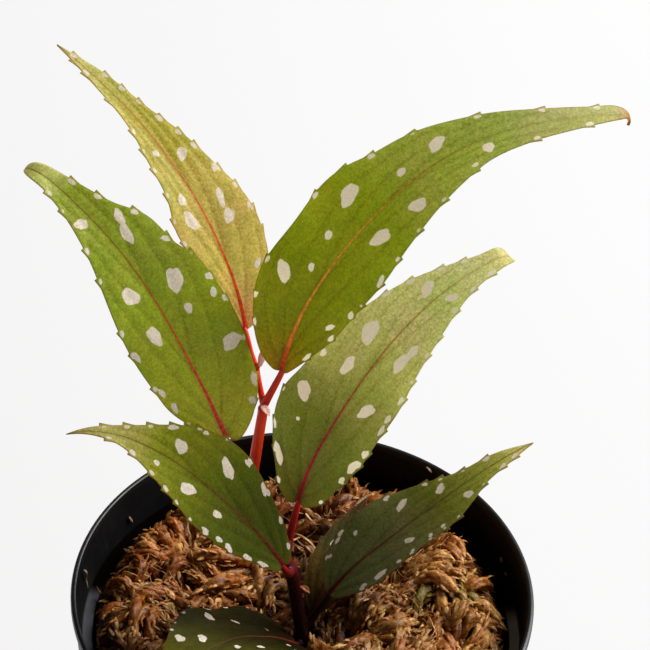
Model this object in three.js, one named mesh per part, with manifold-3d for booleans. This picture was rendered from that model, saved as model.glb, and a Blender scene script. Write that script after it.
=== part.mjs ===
// A spotted begonia in a round nursery pot: eight long toothed leaves on one red, zig-zag stem
// that stands in a mound of long-fibre moss. Millimetres, +Z up, origin at the middle of the
// pot's underside. The plant leans a little to the left and its leaves face -Y.
import * as THREE from 'three';
import { mergeVertices } from 'three/addons/utils/BufferGeometryUtils.js';
import Module from 'manifold-3d';

const wasm = await Module();
wasm.setup();

// ---------- driving dimensions ----------

const GAP = 0.35; // clear space kept between touching pieces

const POT = {
  height: 78,
  rimRadius: 45,
  rimDrop: 1.5, // depth of the rolled rim
  rimLip: 1,
  collarDepth: 11.2,
  collarInset: 1.1, // how far the collar narrows on its way down
  ledge: 1.9, // width of the step under the collar
  wall: 1,
  baseRadius: 31,
  baseThickness: 1.2,
  baseChamfer: 0.6,
  holeRadius: 4,
  holeCircle: 20,
  holes: 6,
  segments: 48,
};

const MOSS = {
  edgeHeight: 65, // where the moss meets the wall
  crownHeight: 71,
  shoulder: 8, // width over which it rises from the wall
  sideRise: 2, // extra height beside the left and right wall
  ridge: 1, // size of the lumps
  hollowRadius: 10, // dip round the stem
  hollowDepth: 8.5,
  rings: 8,
  spokes: 40,
  strands: 110,
  strandReach: 37.5, // strands are planted within this radius
  strandLength: 12,
  strandBend: 0.35, // turn of each end in plan, in radians
  strandRadius: 1.5,
  strandSides: 4,
  strandSink: 1.6, // depth of a strand's two ends below the mound's surface
  stemClearance: 3.6, // strands keep this far from the middle of the stem and its stalks
  leafClearance: 2.2,
  holeRadius: 2.2, // plain hole that the stem stands in
  holeMiddle: 0.2,
  holeFloor: 44,
  holeHeight: 40,
  seed: 11,
};

const LEAF = {
  thickness: 0.7,
  keelDepth: 0.9, // midrib below the blade, at its base
  keelHalfWidth: 0.9,
  rows: 16,
  plainRows: 5, // rows of a small blade without teeth
  quarterColumn: 0.3, // most that the column beside the keel moves out towards the edge
  middleColumn: 0.55,
  toothClear: 0.012, // share of the edge kept free of plain points beside a tooth
  toothRise: 0.5,
  toothRun: 2, // length of a tooth's long side
  toothStep: 0.4, // length of its short side
  toothLean: 0.3, // how far its point leans forward
  waveHeight: 0.4,
  waveLength: 17,
  waveShift: 2, // how far the two halves' waves are out of step, in radians
  foldSlope: 0.2, // rise of each half from the midrib
  droop: 0.1, // how much the edge comes down again, at 10 mm from the midrib
};

const COLOURS = {
  pot: 0x17171a,
  moss: 0xa8652f,
  stem: 0xa3200f,
  petal: 0xd9a08c,
  youngLeaf: 0xa6a23c,
  leaf: 0x6a7a1e,
  shadeLeaf: 0x3d4a22,
};

// ---------- the stem's route and its side stalks, from the root up ----------

const STEM_ROUTE = [
  [0.4, 0, 46],
  [0.1, 0, 64],
  [-1.2, 0, 74.5],
  [-2.6, 0, 83],
  [-6.5, 0.8, 91.5],
  [-10.7, 1.5, 100],
  [-10.2, 2, 108],
  [-8.6, 3, 123],
];
const STEM_RADII = [1.35, 1.35, 1.35, 1.35, 1.3, 1.2, 1.1, 0.95];

const STALKS = [
  { route: [[-8.6, 3, 122.6], [-9.6, 4.5, 126.5], [-10.1, 6, 129]], radii: [0.7, 0.6, 0.55] },
  { route: [[-10.1, 6, 128.8], [-11.4, 7.2, 131.8], [-12.3, 7.9, 135.5]], radii: [0.6, 0.6, 0.6] },
  { route: [[-8.6, 3, 123], [-7.2, 2.5, 127], [-5.7, 2.1, 131.4]], radii: [0.85, 0.7, 0.65] },
  { route: [[-10.7, 1.5, 100], [-14, 1.4, 109], [-15.4, -0.3, 117.8]], radii: [0.9, 0.75, 0.7] },
  { route: [[-3.6, 0.4, 85.5], [-2.8, 1.9, 91.5], [-1.6, 2.9, 98]], radii: [1, 0.85, 0.75] },
  { route: [[-2.6, 0, 83], [-2.7, -3.9, 86], [-3.7, -7.4, 90.9]], radii: [1, 0.8, 0.7] },
  { route: [[0, 0, 65.5], [2.4, 1, 69.3], [4.6, 1.9, 73.3]], radii: [0.95, 0.8, 0.7] },
  { route: [[0.2, 0, 62.5], [-0.3, -2.2, 64.4], [-0.8, -3.6, 65.7]], radii: [0.95, 0.85, 0.75] },
  { route: [[0.1, 0, 64], [1.2, 1.4, 66], [2, 2.8, 67.6]], radii: [0.9, 0.7, 0.65] },
];

// ---------- leaves ----------
// at: base of the blade. heading: compass angle of the midrib in plan, anticlockwise from +X.
// rise: slope of the midrib. roll: turn about the midrib, positive lifts the right half.
// heading, rise and roll are [mm along the midrib, degrees]. left and right are the blade's
// edges as [mm along, mm out]. Teeth are given by their mm along.

const LEAVES = [
  {
    name: 'leaf_1',
    colour: COLOURS.youngLeaf,
    at: [-12.5, 8.6, 136],
    length: 66,
    heading: [[0, 140]],
    rise: [[0, 78], [16.5, 57], [33, 38], [49.5, 20], [66, 12]],
    roll: [[0, 12], [66, 8]],
    left: [[2, 0.8], [8, 2.7], [15, 5.3], [23, 6.7], [30, 4.9], [37, 3.9], [45, 2.3], [56, 1.2], [66, 0]],
    right: [
      [1.6, 2.8], [7.7, 6.4], [14, 8.6], [23, 8.6], [31, 6.6], [39, 4.6], [46, 2.9], [56, 1.8], [66, 0],
    ],
    leftTeeth: [21.5, 26, 30.5, 35.5, 39.5, 43.5, 51, 58, 61.5],
    rightTeeth: [17, 21, 26, 30, 35.5, 39, 43, 47.5, 51.5, 55.5, 62.5],
  },
  {
    name: 'leaf_2',
    colour: COLOURS.leaf,
    at: [-5.5, 2, 132.5],
    length: 89.5,
    heading: [[0, 20]],
    rise: [[0, 80], [22, 59], [43.5, 42], [65, 7], [86.5, -12], [88.2, -70], [89.5, -115]],
    roll: [[0, -30], [87, -15]],
    left: [
      [-0.5, 2], [2, 5.6], [8, 9.7], [15, 11.2], [28, 11.1], [37, 10.8], [44, 8.5], [52, 6.7],
      [60, 4.8], [70, 2.9], [80, 1.9], [85.5, 1.9], [89.5, 0],
    ],
    right: [
      [0.7, 1.6], [7, 5.3], [14, 8.2], [22, 9.8], [30, 10.1], [38, 9.4], [46, 7.7], [53, 6.3],
      [60, 4.5], [68, 3.6], [76, 2.8], [84, 1.4], [89.5, 0],
    ],
    leftTeeth: [6, 10.5, 17.5, 31.5, 38, 43, 50.5, 61, 72, 82],
    rightTeeth: [7, 14, 21, 24, 29.5, 35.5, 42, 49, 56.5, 69, 79.5],
  },
  {
    name: 'leaf_3',
    colour: COLOURS.leaf,
    at: [-15.6, -1.4, 119.5],
    length: 69,
    heading: [[0, 170], [62, 170], [64.5, 150], [66.5, 128], [69, 105]],
    rise: [[0, 69], [16.5, 66], [33, 62], [49.5, 49], [62, 41], [64.5, 5], [66.5, -32], [69, -58]],
    roll: [[0, 50], [64, 32], [69, 45]],
    left: [
      [-0.2, 1.3], [4.8, 4.7], [11.4, 7.6], [18.7, 8.7], [26, 9.1], [33.5, 8.8], [41, 7.1],
      [48, 5.2], [55, 3.3], [60, 2.3], [65, 1.5], [69, 0],
    ],
    right: [
      [-2.5, 1.2], [-2, 3.2], [1, 6.2], [6.7, 9.5], [13.6, 11], [23, 11.6], [33, 11], [38.5, 8.7],
      [45, 7.8], [51, 4.8], [57, 3.1], [62, 2.1], [65, 1.5], [69, 0],
    ],
    leftTeeth: [2, 7, 18, 26.5, 32, 43, 49, 57, 61],
    rightTeeth: [3.5, 8, 16, 24.5, 29.5, 35.5, 40.5, 47.5, 54, 59],
  },
  {
    name: 'leaf_4',
    colour: COLOURS.leaf,
    at: [-1.5, 3, 99],
    length: 69,
    heading: [[0, 26], [63.5, 26], [66, 45], [69, 78]],
    rise: [[0, 78], [16, 62], [32.5, 55], [49, 38], [63.5, 14], [66, -40], [69, -68]],
    roll: [[0, -25], [63, -15]],
    left: [
      [-1.5, 1.4], [0.1, 4.2], [4.4, 7], [10, 10.5], [17.6, 12.3], [22.5, 11.9], [30, 10.9],
      [38, 9.2], [46, 6.9], [53, 4.5], [60, 2.5], [65, 2], [69, 0],
    ],
    right: [
      [-0.4, 1.9], [3.3, 5.4], [9.6, 7.8], [17.4, 9.7], [26, 9.9], [34, 9.4], [42, 7.7],
      [50, 5.5], [57.4, 3.3], [63, 2.3], [66, 1.5], [69, 0],
    ],
    leftTeeth: [2, 7, 12, 18, 44, 49, 54.5, 58.5],
    rightTeeth: [4, 11, 16.5, 20, 25.5, 33, 37, 42.5, 46.5, 52, 57, 61.5],
  },
  {
    name: 'leaf_5',
    colour: COLOURS.leaf,
    at: [-4, -8, 92.7],
    length: 57.2,
    heading: [[0, 190]],
    rise: [[0, 63], [14.5, 55], [29, 51], [43.5, 36], [52, 12], [57.2, -14]],
    roll: [[0, 50], [57.2, 30]],
    left: [
      [0.5, 2.1], [7.9, 4.9], [15, 7], [22.7, 7.7], [29, 7.4], [36, 5.8], [43, 3.3], [49, 1.3], [57.2, 0],
    ],
    right: [
      [-1, 1], [0.7, 2.6], [7.2, 5.1], [16.4, 8.1], [25.6, 9.6], [33.4, 8], [40.7, 4.7], [47, 2.1],
      [57.2, 0],
    ],
    leftTeeth: [5, 9.5, 15, 19, 22.5, 27.5, 32.5, 36, 40, 45, 50],
    rightTeeth: [2.5, 8, 14, 21.5, 28, 34, 39, 43, 47, 51],
  },
  {
    name: 'leaf_6',
    colour: COLOURS.shadeLeaf,
    at: [5, 2, 74.5],
    length: 50.5,
    heading: [[0, 24]],
    rise: [[0, 54], [12.5, 34], [25, 33], [37.5, 29], [50, 18]],
    roll: [[0, -18], [50, -10]],
    left: [
      [0.8, 1.8], [3.6, 4.9], [9.2, 7.3], [15.7, 8.1], [20, 7.7], [26, 5.8], [35, 2.8], [43, 1.9], [50.5, 0],
    ],
    right: [
      [1.6, 2.5], [6.8, 5.2], [11.5, 6.1], [20, 5.9], [29, 5.8], [34.4, 4.4], [39.2, 2.5], [45, 1.4],
      [50.5, 0],
    ],
    leftTeeth: [5, 10, 14.5, 21.5, 29, 32, 36.5, 41.5],
    rightTeeth: [7, 11, 15.5, 19.5, 24, 27.5, 31, 38.5, 43.5, 46.5],
  },
  {
    name: 'leaf_7',
    colour: COLOURS.shadeLeaf,
    at: [-1, -4.5, 67],
    length: 54,
    heading: [[0, 220], [27, 242], [54, 228]],
    rise: [[0, 45], [27, 34], [54, -20]],
    roll: [[0, -6], [54, -4]],
    left: [[0.5, 2], [2, 5], [7.5, 8.4], [15, 9.8], [24, 9.4], [32, 7.2], [40, 4.5], [47, 2.3], [54, 0]],
    right: [
      [-1.2, 2], [-1.8, 5], [0.5, 8.6], [6, 11.3], [14, 12.3], [23, 11.9], [31, 9.8], [39, 6.2],
      [47, 3.1], [54, 0],
    ],
    leftTeeth: [6, 11, 16, 21, 26, 31, 36, 41.5, 47],
    rightTeeth: [5, 10, 15, 20.5, 24, 29, 34, 39.5, 45.5],
  },
  {
    name: 'leaf_8',
    colour: COLOURS.shadeLeaf,
    at: [2.2, 3.2, 68],
    length: 26,
    heading: [[0, 62]],
    rise: [[0, 50], [13, 36], [26, 15]],
    roll: [[0, -10]],
    left: [[1, 2], [5, 3.8], [11, 4.4], [17, 3.2], [22, 1.4], [26, 0]],
    right: [[1, 2], [5, 3.6], [11, 4], [17, 3], [22, 1.3], [26, 0]],
    leftTeeth: [6, 10, 14, 18, 22],
    rightTeeth: [6, 10, 14, 18, 22],
  },
];

// Papery scales at the joints of the stem. They are small blades without teeth.
const STIPULES = [
  {
    name: 'stipule_1',
    colour: COLOURS.petal,
    at: [-9.1, 1.15, 124.2],
    length: 2.6,
    heading: [[0, -25]],
    rise: [[0, -5], [2.6, -80]],
    roll: [[0, 0]],
    left: [[0.4, 0.6], [1.3, 0.7], [2.6, 0]],
    right: [[0.4, 0.6], [1.3, 0.7], [2.6, 0]],
  },
  {
    name: 'stipule_2',
    colour: COLOURS.petal,
    at: [-0.5, -1.3, 79.9],
    length: 2.6,
    heading: [[0, -35]],
    rise: [[0, 25], [2.6, -55]],
    roll: [[0, 0]],
    left: [[0.4, 0.5], [1.3, 0.55], [2.6, 0]],
    right: [[0.4, 0.5], [1.3, 0.55], [2.6, 0]],
  },
];

// The closed tip bud, a slim spindle in its papery sheath.
const BUD = {
  route: [[-9.6, 5.5, 130.4], [-9.4, 5.5, 132], [-9, 5.7, 134.6]],
  radii: [0.35, 0.75, 0],
};

// ---------- small helpers ----------

// Mulberry32, a seeded random number from 0 to 1.
function seededRandom(seed) {
  let state = seed;
  return () => {
    state = (state + 0x6d2b79f5) | 0;
    let t = Math.imul(state ^ (state >>> 15), 1 | state);
    t = (t + Math.imul(t ^ (t >>> 7), 61 | t)) ^ t;
    return ((t ^ (t >>> 14)) >>> 0) / 4294967296;
  };
}

// Straight-line reading of a [place, value] table, held flat beyond its ends.
function readTable(table, place) {
  if (place <= table[0][0]) {
    return table[0][1];
  }
  for (let i = 1; i < table.length; i += 1) {
    const [x0, y0] = table[i - 1];
    const [x1, y1] = table[i];
    if (place <= x1) {
      return y0 + ((y1 - y0) * (place - x0)) / (x1 - x0);
    }
  }
  return table[table.length - 1][1];
}

const vector = (xyz) => new THREE.Vector3(xyz[0], xyz[1], xyz[2]);

function geometryOf(points, faces) {
  const geometry = new THREE.BufferGeometry();
  const numbers = points.flatMap((p) => [p.x, p.y, p.z]);
  geometry.setAttribute('position', new THREE.Float32BufferAttribute(numbers, 3));
  geometry.setIndex(faces.flat());
  return geometry;
}

function solidOf(geometry) {
  const bare = geometry.clone();
  bare.deleteAttribute('normal');
  bare.deleteAttribute('uv');
  const merged = mergeVertices(bare);
  const mesh = new wasm.Mesh({
    numProp: 3,
    vertProperties: Float32Array.from(merged.attributes.position.array),
    triVerts: Uint32Array.from(merged.index.array),
  });
  return new wasm.Manifold(mesh);
}

function geometryOfSolid(solid) {
  const mesh = solid.getMesh();
  const geometry = new THREE.BufferGeometry();
  geometry.setAttribute('position', new THREE.BufferAttribute(Float32Array.from(mesh.vertProperties), 3));
  geometry.setIndex(new THREE.BufferAttribute(Uint32Array.from(mesh.triVerts), 1));
  return geometry;
}

// A round closed tube through the route, with a radius for each route point. A radius of 0 at an
// end makes that end a point.
function taperedTube(route, radii, sides, steps) {
  const curve = new THREE.CatmullRomCurve3(route.map(vector));
  const frames = curve.computeFrenetFrames(steps, false);
  const radiusTable = radii.map((radius, i) => [i / (radii.length - 1), radius]);
  const points = [curve.getPoint(0)];
  const ringStarts = [];
  for (let i = 0; i <= steps; i += 1) {
    const t = curve.getUtoTmapping(i / steps);
    const radius = readTable(radiusTable, t);
    if (radius > 0) {
      ringStarts.push(points.length);
      const centre = curve.getPoint(t);
      for (let k = 0; k < sides; k += 1) {
        const angle = (2 * Math.PI * k) / sides;
        const out = frames.normals[i].clone().multiplyScalar(radius * Math.cos(angle));
        out.addScaledVector(frames.binormals[i], radius * Math.sin(angle));
        points.push(centre.clone().add(out));
      }
    }
  }
  const endPoint = points.length;
  points.push(curve.getPoint(1));
  const faces = [];
  for (let k = 0; k < sides; k += 1) {
    const next = (k + 1) % sides;
    faces.push([0, ringStarts[0] + next, ringStarts[0] + k]);
    for (let ring = 1; ring < ringStarts.length; ring += 1) {
      const low = ringStarts[ring - 1];
      const high = ringStarts[ring];
      faces.push([low + k, low + next, high + next]);
      faces.push([low + k, high + next, high + k]);
    }
    const last = ringStarts[ringStarts.length - 1];
    faces.push([last + k, last + next, endPoint]);
  }
  return geometryOf(points, faces);
}

// ---------- pot ----------

// Inner radius at a height: the tapered body, and the wider collar above the ledge.
function potInnerRadius(height) {
  const ledgeHeight = POT.height - POT.collarDepth;
  const collar = POT.rimRadius - POT.rimLip - POT.collarInset;
  const top = collar - POT.ledge;
  const bottom = POT.baseRadius - POT.wall;
  return height > ledgeHeight + GAP ? collar : bottom + ((top - bottom) * height) / ledgeHeight;
}

function potGeometry() {
  const ledgeHeight = POT.height - POT.collarDepth;
  const collarInnerTop = POT.rimRadius - POT.rimLip;
  const collarInnerLow = collarInnerTop - POT.collarInset;
  const bodyTopInner = collarInnerLow - POT.ledge;
  const profile = [
    [0, 0],
    [POT.baseRadius - POT.baseChamfer, 0],
    [POT.baseRadius, POT.baseChamfer],
    [bodyTopInner + POT.wall, ledgeHeight - POT.wall],
    [collarInnerLow + POT.wall * 0.6, ledgeHeight - POT.wall * 0.6],
    [collarInnerLow + POT.wall, ledgeHeight],
    [collarInnerTop + POT.wall * 0.6, POT.height - POT.rimDrop - 0.5],
    [POT.rimRadius, POT.height - POT.rimDrop],
    [POT.rimRadius, POT.height - 0.4],
    [POT.rimRadius - 0.4, POT.height],
    [collarInnerTop, POT.height],
    [collarInnerLow, ledgeHeight + 0.3],
    [collarInnerLow - 0.3, ledgeHeight],
    [bodyTopInner, ledgeHeight],
    [potInnerRadius(POT.baseThickness), POT.baseThickness],
    [0, POT.baseThickness],
  ];
  const lathe = new THREE.LatheGeometry(profile.map(([x, y]) => new THREE.Vector2(x, y)), POT.segments);
  lathe.rotateX(Math.PI / 2);
  let body = solidOf(lathe);
  for (let i = 0; i < POT.holes; i += 1) {
    const angle = (2 * Math.PI * (i + 0.5)) / POT.holes;
    const hole = new THREE.CylinderGeometry(POT.holeRadius, POT.holeRadius, 6, 16);
    hole.rotateX(Math.PI / 2);
    hole.translate(POT.holeCircle * Math.cos(angle), POT.holeCircle * Math.sin(angle), 0);
    body = body.subtract(solidOf(hole));
  }
  return geometryOfSolid(body);
}

// ---------- stem ----------

const STEM_SIDES = 10;
const STALK_SIDES = 8;

function stemSolid(extraRadius) {
  const thicker = (radii) => radii.map((radius) => radius + extraRadius);
  let solid = solidOf(taperedTube(STEM_ROUTE, thicker(STEM_RADII), STEM_SIDES, 16));
  for (const stalk of STALKS) {
    solid = solid.add(solidOf(taperedTube(stalk.route, thicker(stalk.radii), STALK_SIDES, 4)));
  }
  return solid;
}

// ---------- leaves ----------

// The midrib in space: a list of points a millimetre or so apart, found by walking along it.
function walkMidrib(leaf) {
  const steps = Math.ceil(leaf.length);
  const stride = leaf.length / steps;
  const points = [vector(leaf.at)];
  for (let i = 0; i < steps; i += 1) {
    const ahead = midribDirection(leaf, (i + 0.5) * stride);
    points.push(points[i].clone().addScaledVector(ahead, stride));
  }
  return points;
}

function midribDirection(leaf, along) {
  const heading = THREE.MathUtils.degToRad(readTable(leaf.heading, along));
  const rise = THREE.MathUtils.degToRad(readTable(leaf.rise, along));
  return new THREE.Vector3(
    Math.cos(rise) * Math.cos(heading),
    Math.cos(rise) * Math.sin(heading),
    Math.sin(rise),
  );
}

// Directions at a place on the midrib: across to the right, and up out of the upper face. Where
// a tip hooks over past straight down, the sides stay as they were.
function bladeFrame(leaf, along) {
  const heading = THREE.MathUtils.degToRad(readTable(leaf.heading, along));
  const roll = THREE.MathUtils.degToRad(readTable(leaf.roll, along));
  const level = new THREE.Vector3(Math.sin(heading), -Math.cos(heading), 0);
  const upright = level.clone().cross(midribDirection(leaf, along));
  const right = level.clone().multiplyScalar(Math.cos(roll)).addScaledVector(upright, Math.sin(roll));
  const up = upright.clone().multiplyScalar(Math.cos(roll)).addScaledVector(level, -Math.sin(roll));
  return { right, up };
}

// A point of the blade, given mm along the midrib, mm to the right of it and mm above its middle.
function bladePoint(leaf, midrib, along, across, lift) {
  const place = THREE.MathUtils.clamp(along / leaf.length, 0, 1) * (midrib.length - 1);
  const index = Math.min(Math.floor(place), midrib.length - 2);
  const point = midrib[index].clone().lerp(midrib[index + 1], place - index);
  const beyond = along < 0 ? along : Math.max(along - leaf.length, 0);
  point.addScaledVector(midribDirection(leaf, along), beyond);
  const { right, up } = bladeFrame(leaf, along);
  const out = Math.abs(across);
  const phase = (2 * Math.PI * along) / LEAF.waveLength + (across > 0 ? 0 : LEAF.waveShift);
  const wave = LEAF.waveHeight * (out / 10) ** 2 * Math.sin(phase);
  const height = LEAF.foldSlope * out - (LEAF.droop * out * out) / 10 + wave;
  return point.addScaledVector(right, across).addScaledVector(up, height + lift);
}

// One edge of the blade with its teeth, as { share, along, out } from base to tip. share runs
// from 0 to 1 along the smooth edge, and smooth(share) gives that edge without teeth.
function bladeEdge(stations, teeth, rows) {
  const outline = [[0, 0], ...stations].map(([along, out]) => new THREE.Vector2(along, out));
  const curve = new THREE.SplineCurve(outline);
  const smooth = (share) => curve.getPointAt(share);
  const slope = (share) => curve.getTangentAt(share);
  const samples = 400;
  const shareAt = (along) => {
    for (let i = 1; i <= samples; i += 1) {
      if (smooth(i / samples).x >= along) {
        return i / samples;
      }
    }
    return 1;
  };
  const perMillimetre = 1 / curve.getLength();
  const toothed = [];
  for (const along of teeth ?? []) {
    const share = shareAt(along);
    const point = smooth(share);
    const ahead = slope(share);
    toothed.push({
      share,
      from: share - LEAF.toothRun * perMillimetre,
      to: share + LEAF.toothStep * perMillimetre,
      along: point.x - ahead.y * LEAF.toothRise + ahead.x * LEAF.toothLean,
      out: point.y + ahead.x * LEAF.toothRise,
    });
  }
  const edge = [];
  const addSmooth = (share) => {
    const point = smooth(share);
    edge.push({ share, along: point.x, out: point.y });
  };
  for (const tooth of toothed) {
    addSmooth(tooth.from);
    edge.push({ share: tooth.share, along: tooth.along, out: tooth.out });
    addSmooth(tooth.to);
  }
  for (let i = 1; i < rows; i += 1) {
    const share = i / rows;
    const clear = toothed.every((tooth) => {
      const before = share < tooth.from - LEAF.toothClear;
      return before || share > tooth.to + LEAF.toothClear;
    });
    if (clear) {
      addSmooth(share);
    }
  }
  edge.sort((a, b) => a.share - b.share);
  return { edge, smooth };
}

// Triangles between two lines of points that share their first and last point.
function zip(lower, upper, faces, flip) {
  let i = 0;
  let j = 0;
  while (i < lower.length - 1 || j < upper.length - 1) {
    const stepLower = j === upper.length - 1
      || (i < lower.length - 1 && lower[i + 1].share <= upper[j + 1].share);
    const a = lower[i].index;
    const b = upper[j].index;
    const c = stepLower ? lower[i + 1].index : upper[j + 1].index;
    if (stepLower) {
      i += 1;
    } else {
      j += 1;
    }
    if (a !== b && b !== c && a !== c) {
      faces.push(flip ? [a, b, c] : [a, c, b]);
    }
  }
}

function bladeGeometry(leaf) {
  const midrib = walkMidrib(leaf);
  const flat = []; // { along, across, keel } of every point, shared by both faces
  const put = (share, along, across, keel) => {
    flat.push({ along, across, keel });
    return { share, index: flat.length - 1 };
  };
  const base = put(0, 0, 0, 0);
  const tip = put(1, leaf.length, 0, 0);
  const rows = leaf.leftTeeth ? LEAF.rows : LEAF.plainRows;
  const middle = [base];
  for (let i = 1; i < rows; i += 1) {
    middle.push(put(i / rows, (leaf.length * i) / rows, 0, 1));
  }
  middle.push(tip);
  const faces = [];
  const rims = [];
  for (const side of [-1, 1]) {
    const stations = side < 0 ? leaf.left : leaf.right;
    const teeth = side < 0 ? leaf.leftTeeth : leaf.rightTeeth;
    const { edge, smooth } = bladeEdge(stations, teeth, rows);
    const lines = [middle];
    for (const column of ['besideMidrib', 'halfway']) {
      const line = [base];
      for (let i = 1; i < rows; i += 1) {
        const share = i / rows;
        const rim = smooth(share);
        const centre = leaf.length * share;
        const narrow = Math.min(LEAF.keelHalfWidth / Math.max(rim.y, 0.1), LEAF.quarterColumn);
        const part = column === 'halfway' ? LEAF.middleColumn : narrow;
        line.push(put(share, centre + (rim.x - centre) * part, side * rim.y * part, 0));
      }
      line.push(tip);
      lines.push(line);
    }
    const rimLine = [base, ...edge.map((p) => put(p.share, p.along, side * p.out, 0)), tip];
    lines.push(rimLine);
    for (let k = 1; k < lines.length; k += 1) {
      zip(lines[k - 1], lines[k], faces, side > 0);
    }
    rims.push(rimLine);
  }
  const half = LEAF.thickness / 2;
  const top = flat.map((p) => bladePoint(leaf, midrib, p.along, p.across, half));
  const bottom = flat.map((p) => {
    const taper = 1 - p.along / leaf.length;
    const keel = leaf.leftTeeth ? p.keel * LEAF.keelDepth * taper : 0;
    return bladePoint(leaf, midrib, p.along, p.across, -half - keel);
  });
  const count = flat.length;
  const all = [...faces, ...faces.map(([a, b, c]) => [a + count, c + count, b + count])];
  const [left, right] = rims;
  const loop = [...left, ...right.slice(1, -1).reverse()].map((p) => p.index);
  loop.forEach((from, i) => {
    const to = loop[(i + 1) % loop.length];
    all.push([from, to, to + count]);
    all.push([from, to + count, from + count]);
  });
  return geometryOf([...top, ...bottom], all);
}

// ---------- moss ----------

function mossHeight(x, y) {
  const radius = Math.hypot(x, y);
  const wall = potInnerRadius(MOSS.edgeHeight);
  const inward = THREE.MathUtils.clamp((wall - radius) / MOSS.shoulder, 0, 1);
  const swell = Math.sin((inward * Math.PI) / 2);
  const sides = MOSS.sideRise * (x / wall) ** 2;
  const lumps = Math.sin(x * 0.42 + 1.3) * Math.cos(y * 0.37) + 0.6 * Math.sin(x * 0.21 - y * 0.55);
  const rise = MOSS.crownHeight - MOSS.edgeHeight + sides + MOSS.ridge * lumps;
  const hollow = Math.exp(-((radius / MOSS.hollowRadius) ** 2)) * MOSS.hollowDepth;
  return MOSS.edgeHeight + rise * swell - hollow;
}

function mossCore() {
  const points = [];
  const faces = [];
  const addRing = (radius, heightAt) => {
    for (let k = 0; k < MOSS.spokes; k += 1) {
      const angle = (2 * Math.PI * k) / MOSS.spokes;
      const x = radius * Math.cos(angle);
      const y = radius * Math.sin(angle);
      points.push(new THREE.Vector3(x, y, heightAt(x, y)));
    }
  };
  const floor = POT.baseThickness + GAP;
  // The pot's wall is many-sided, so its flats come inside its stated radius.
  const flats = Math.cos(Math.PI / POT.segments);
  const edgeRadius = potInnerRadius(MOSS.edgeHeight - 1) * flats - GAP;
  points.push(new THREE.Vector3(0, 0, mossHeight(0, 0)));
  for (let ring = 1; ring <= MOSS.rings; ring += 1) {
    const atEdge = ring === MOSS.rings;
    addRing((edgeRadius * ring) / MOSS.rings, atEdge ? () => MOSS.edgeHeight - 1 : mossHeight);
  }
  addRing(potInnerRadius(floor) * flats - GAP, () => floor);
  points.push(new THREE.Vector3(0, 0, floor));
  const last = points.length - 1;
  for (let k = 0; k < MOSS.spokes; k += 1) {
    const next = (k + 1) % MOSS.spokes;
    faces.push([0, 1 + k, 1 + next]);
    for (let ring = 0; ring < MOSS.rings; ring += 1) {
      const inner = 1 + ring * MOSS.spokes;
      const outer = inner + MOSS.spokes;
      faces.push([inner + k, outer + k, outer + next]);
      faces.push([inner + k, outer + next, inner + next]);
    }
    const lowest = 1 + MOSS.rings * MOSS.spokes;
    faces.push([lowest + k, last, lowest + next]);
  }
  return geometryOf(points, faces);
}

// One moss branch: a fat spindle that arches out of the mound with both ends sunk in it.
function mossStrand(x, y, heading, length, arch, radius) {
  const half = length / 2;
  const route = [-1, -0.45, 0.15, 0.7, 1].map((part) => {
    const px = x + Math.cos(heading + part * MOSS.strandBend) * half * part;
    const py = y + Math.sin(heading + part * MOSS.strandBend) * half * part;
    const lift = arch * (1 - part * part) - MOSS.strandSink * part * part;
    return [px, py, mossHeight(px, py) + lift];
  });
  return taperedTube(route, [0, radius, radius * 0.9, radius * 0.6, 0], MOSS.strandSides, 4);
}

function mossGeometry(avoid) {
  const random = seededRandom(MOSS.seed);
  const strands = [];
  const golden = Math.PI * (3 - Math.sqrt(5));
  for (let i = 0; i < MOSS.strands; i += 1) {
    const radius = MOSS.strandReach * Math.sqrt((i + 0.5) / MOSS.strands);
    const angle = i * golden;
    const x = radius * Math.cos(angle);
    const y = radius * Math.sin(angle);
    const heading = random() * Math.PI * 2;
    const length = MOSS.strandLength * (0.8 + 0.4 * random());
    const arch = 0.2 + 0.6 * random();
    const thick = MOSS.strandRadius * (0.85 + 0.3 * random());
    const geometry = mossStrand(x, y, heading, length, arch, thick);
    const position = geometry.attributes.position;
    let clear = true;
    for (let k = 0; k < position.count && clear; k += 1) {
      const point = new THREE.Vector3().fromBufferAttribute(position, k);
      const wall = potInnerRadius(point.z) * Math.cos(Math.PI / POT.segments) - GAP;
      const far = Math.hypot(point.x, point.y) > wall;
      clear = !far && avoid.every((other) => other.point.distanceTo(point) > other.distance);
    }
    if (clear) {
      strands.push(solidOf(geometry));
    }
  }
  let moss = solidOf(mossCore());
  for (const strand of strands) {
    moss = moss.add(strand);
  }
  const hole = new THREE.CylinderGeometry(MOSS.holeRadius, MOSS.holeRadius, MOSS.holeHeight, 16);
  hole.rotateX(Math.PI / 2);
  hole.translate(MOSS.holeMiddle, 0, MOSS.holeFloor + MOSS.holeHeight / 2);
  return geometryOfSolid(moss.subtract(solidOf(hole)).subtract(stemSolid(GAP)));
}

// ---------- assembly ----------

function material(colour, roughness) {
  return new THREE.MeshStandardMaterial({ color: colour, roughness, metalness: 0 });
}

function addMesh(group, name, geometry, colour, roughness) {
  const mesh = new THREE.Mesh(geometry, material(colour, roughness));
  mesh.name = name;
  group.add(mesh);
  return mesh;
}

const plant = new THREE.Group();
plant.name = 'potted_begonia';

addMesh(plant, 'pot', potGeometry(), COLOURS.pot, 0.45);
addMesh(plant, 'stem', geometryOfSolid(stemSolid(0)), COLOURS.stem, 0.35);

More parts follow.
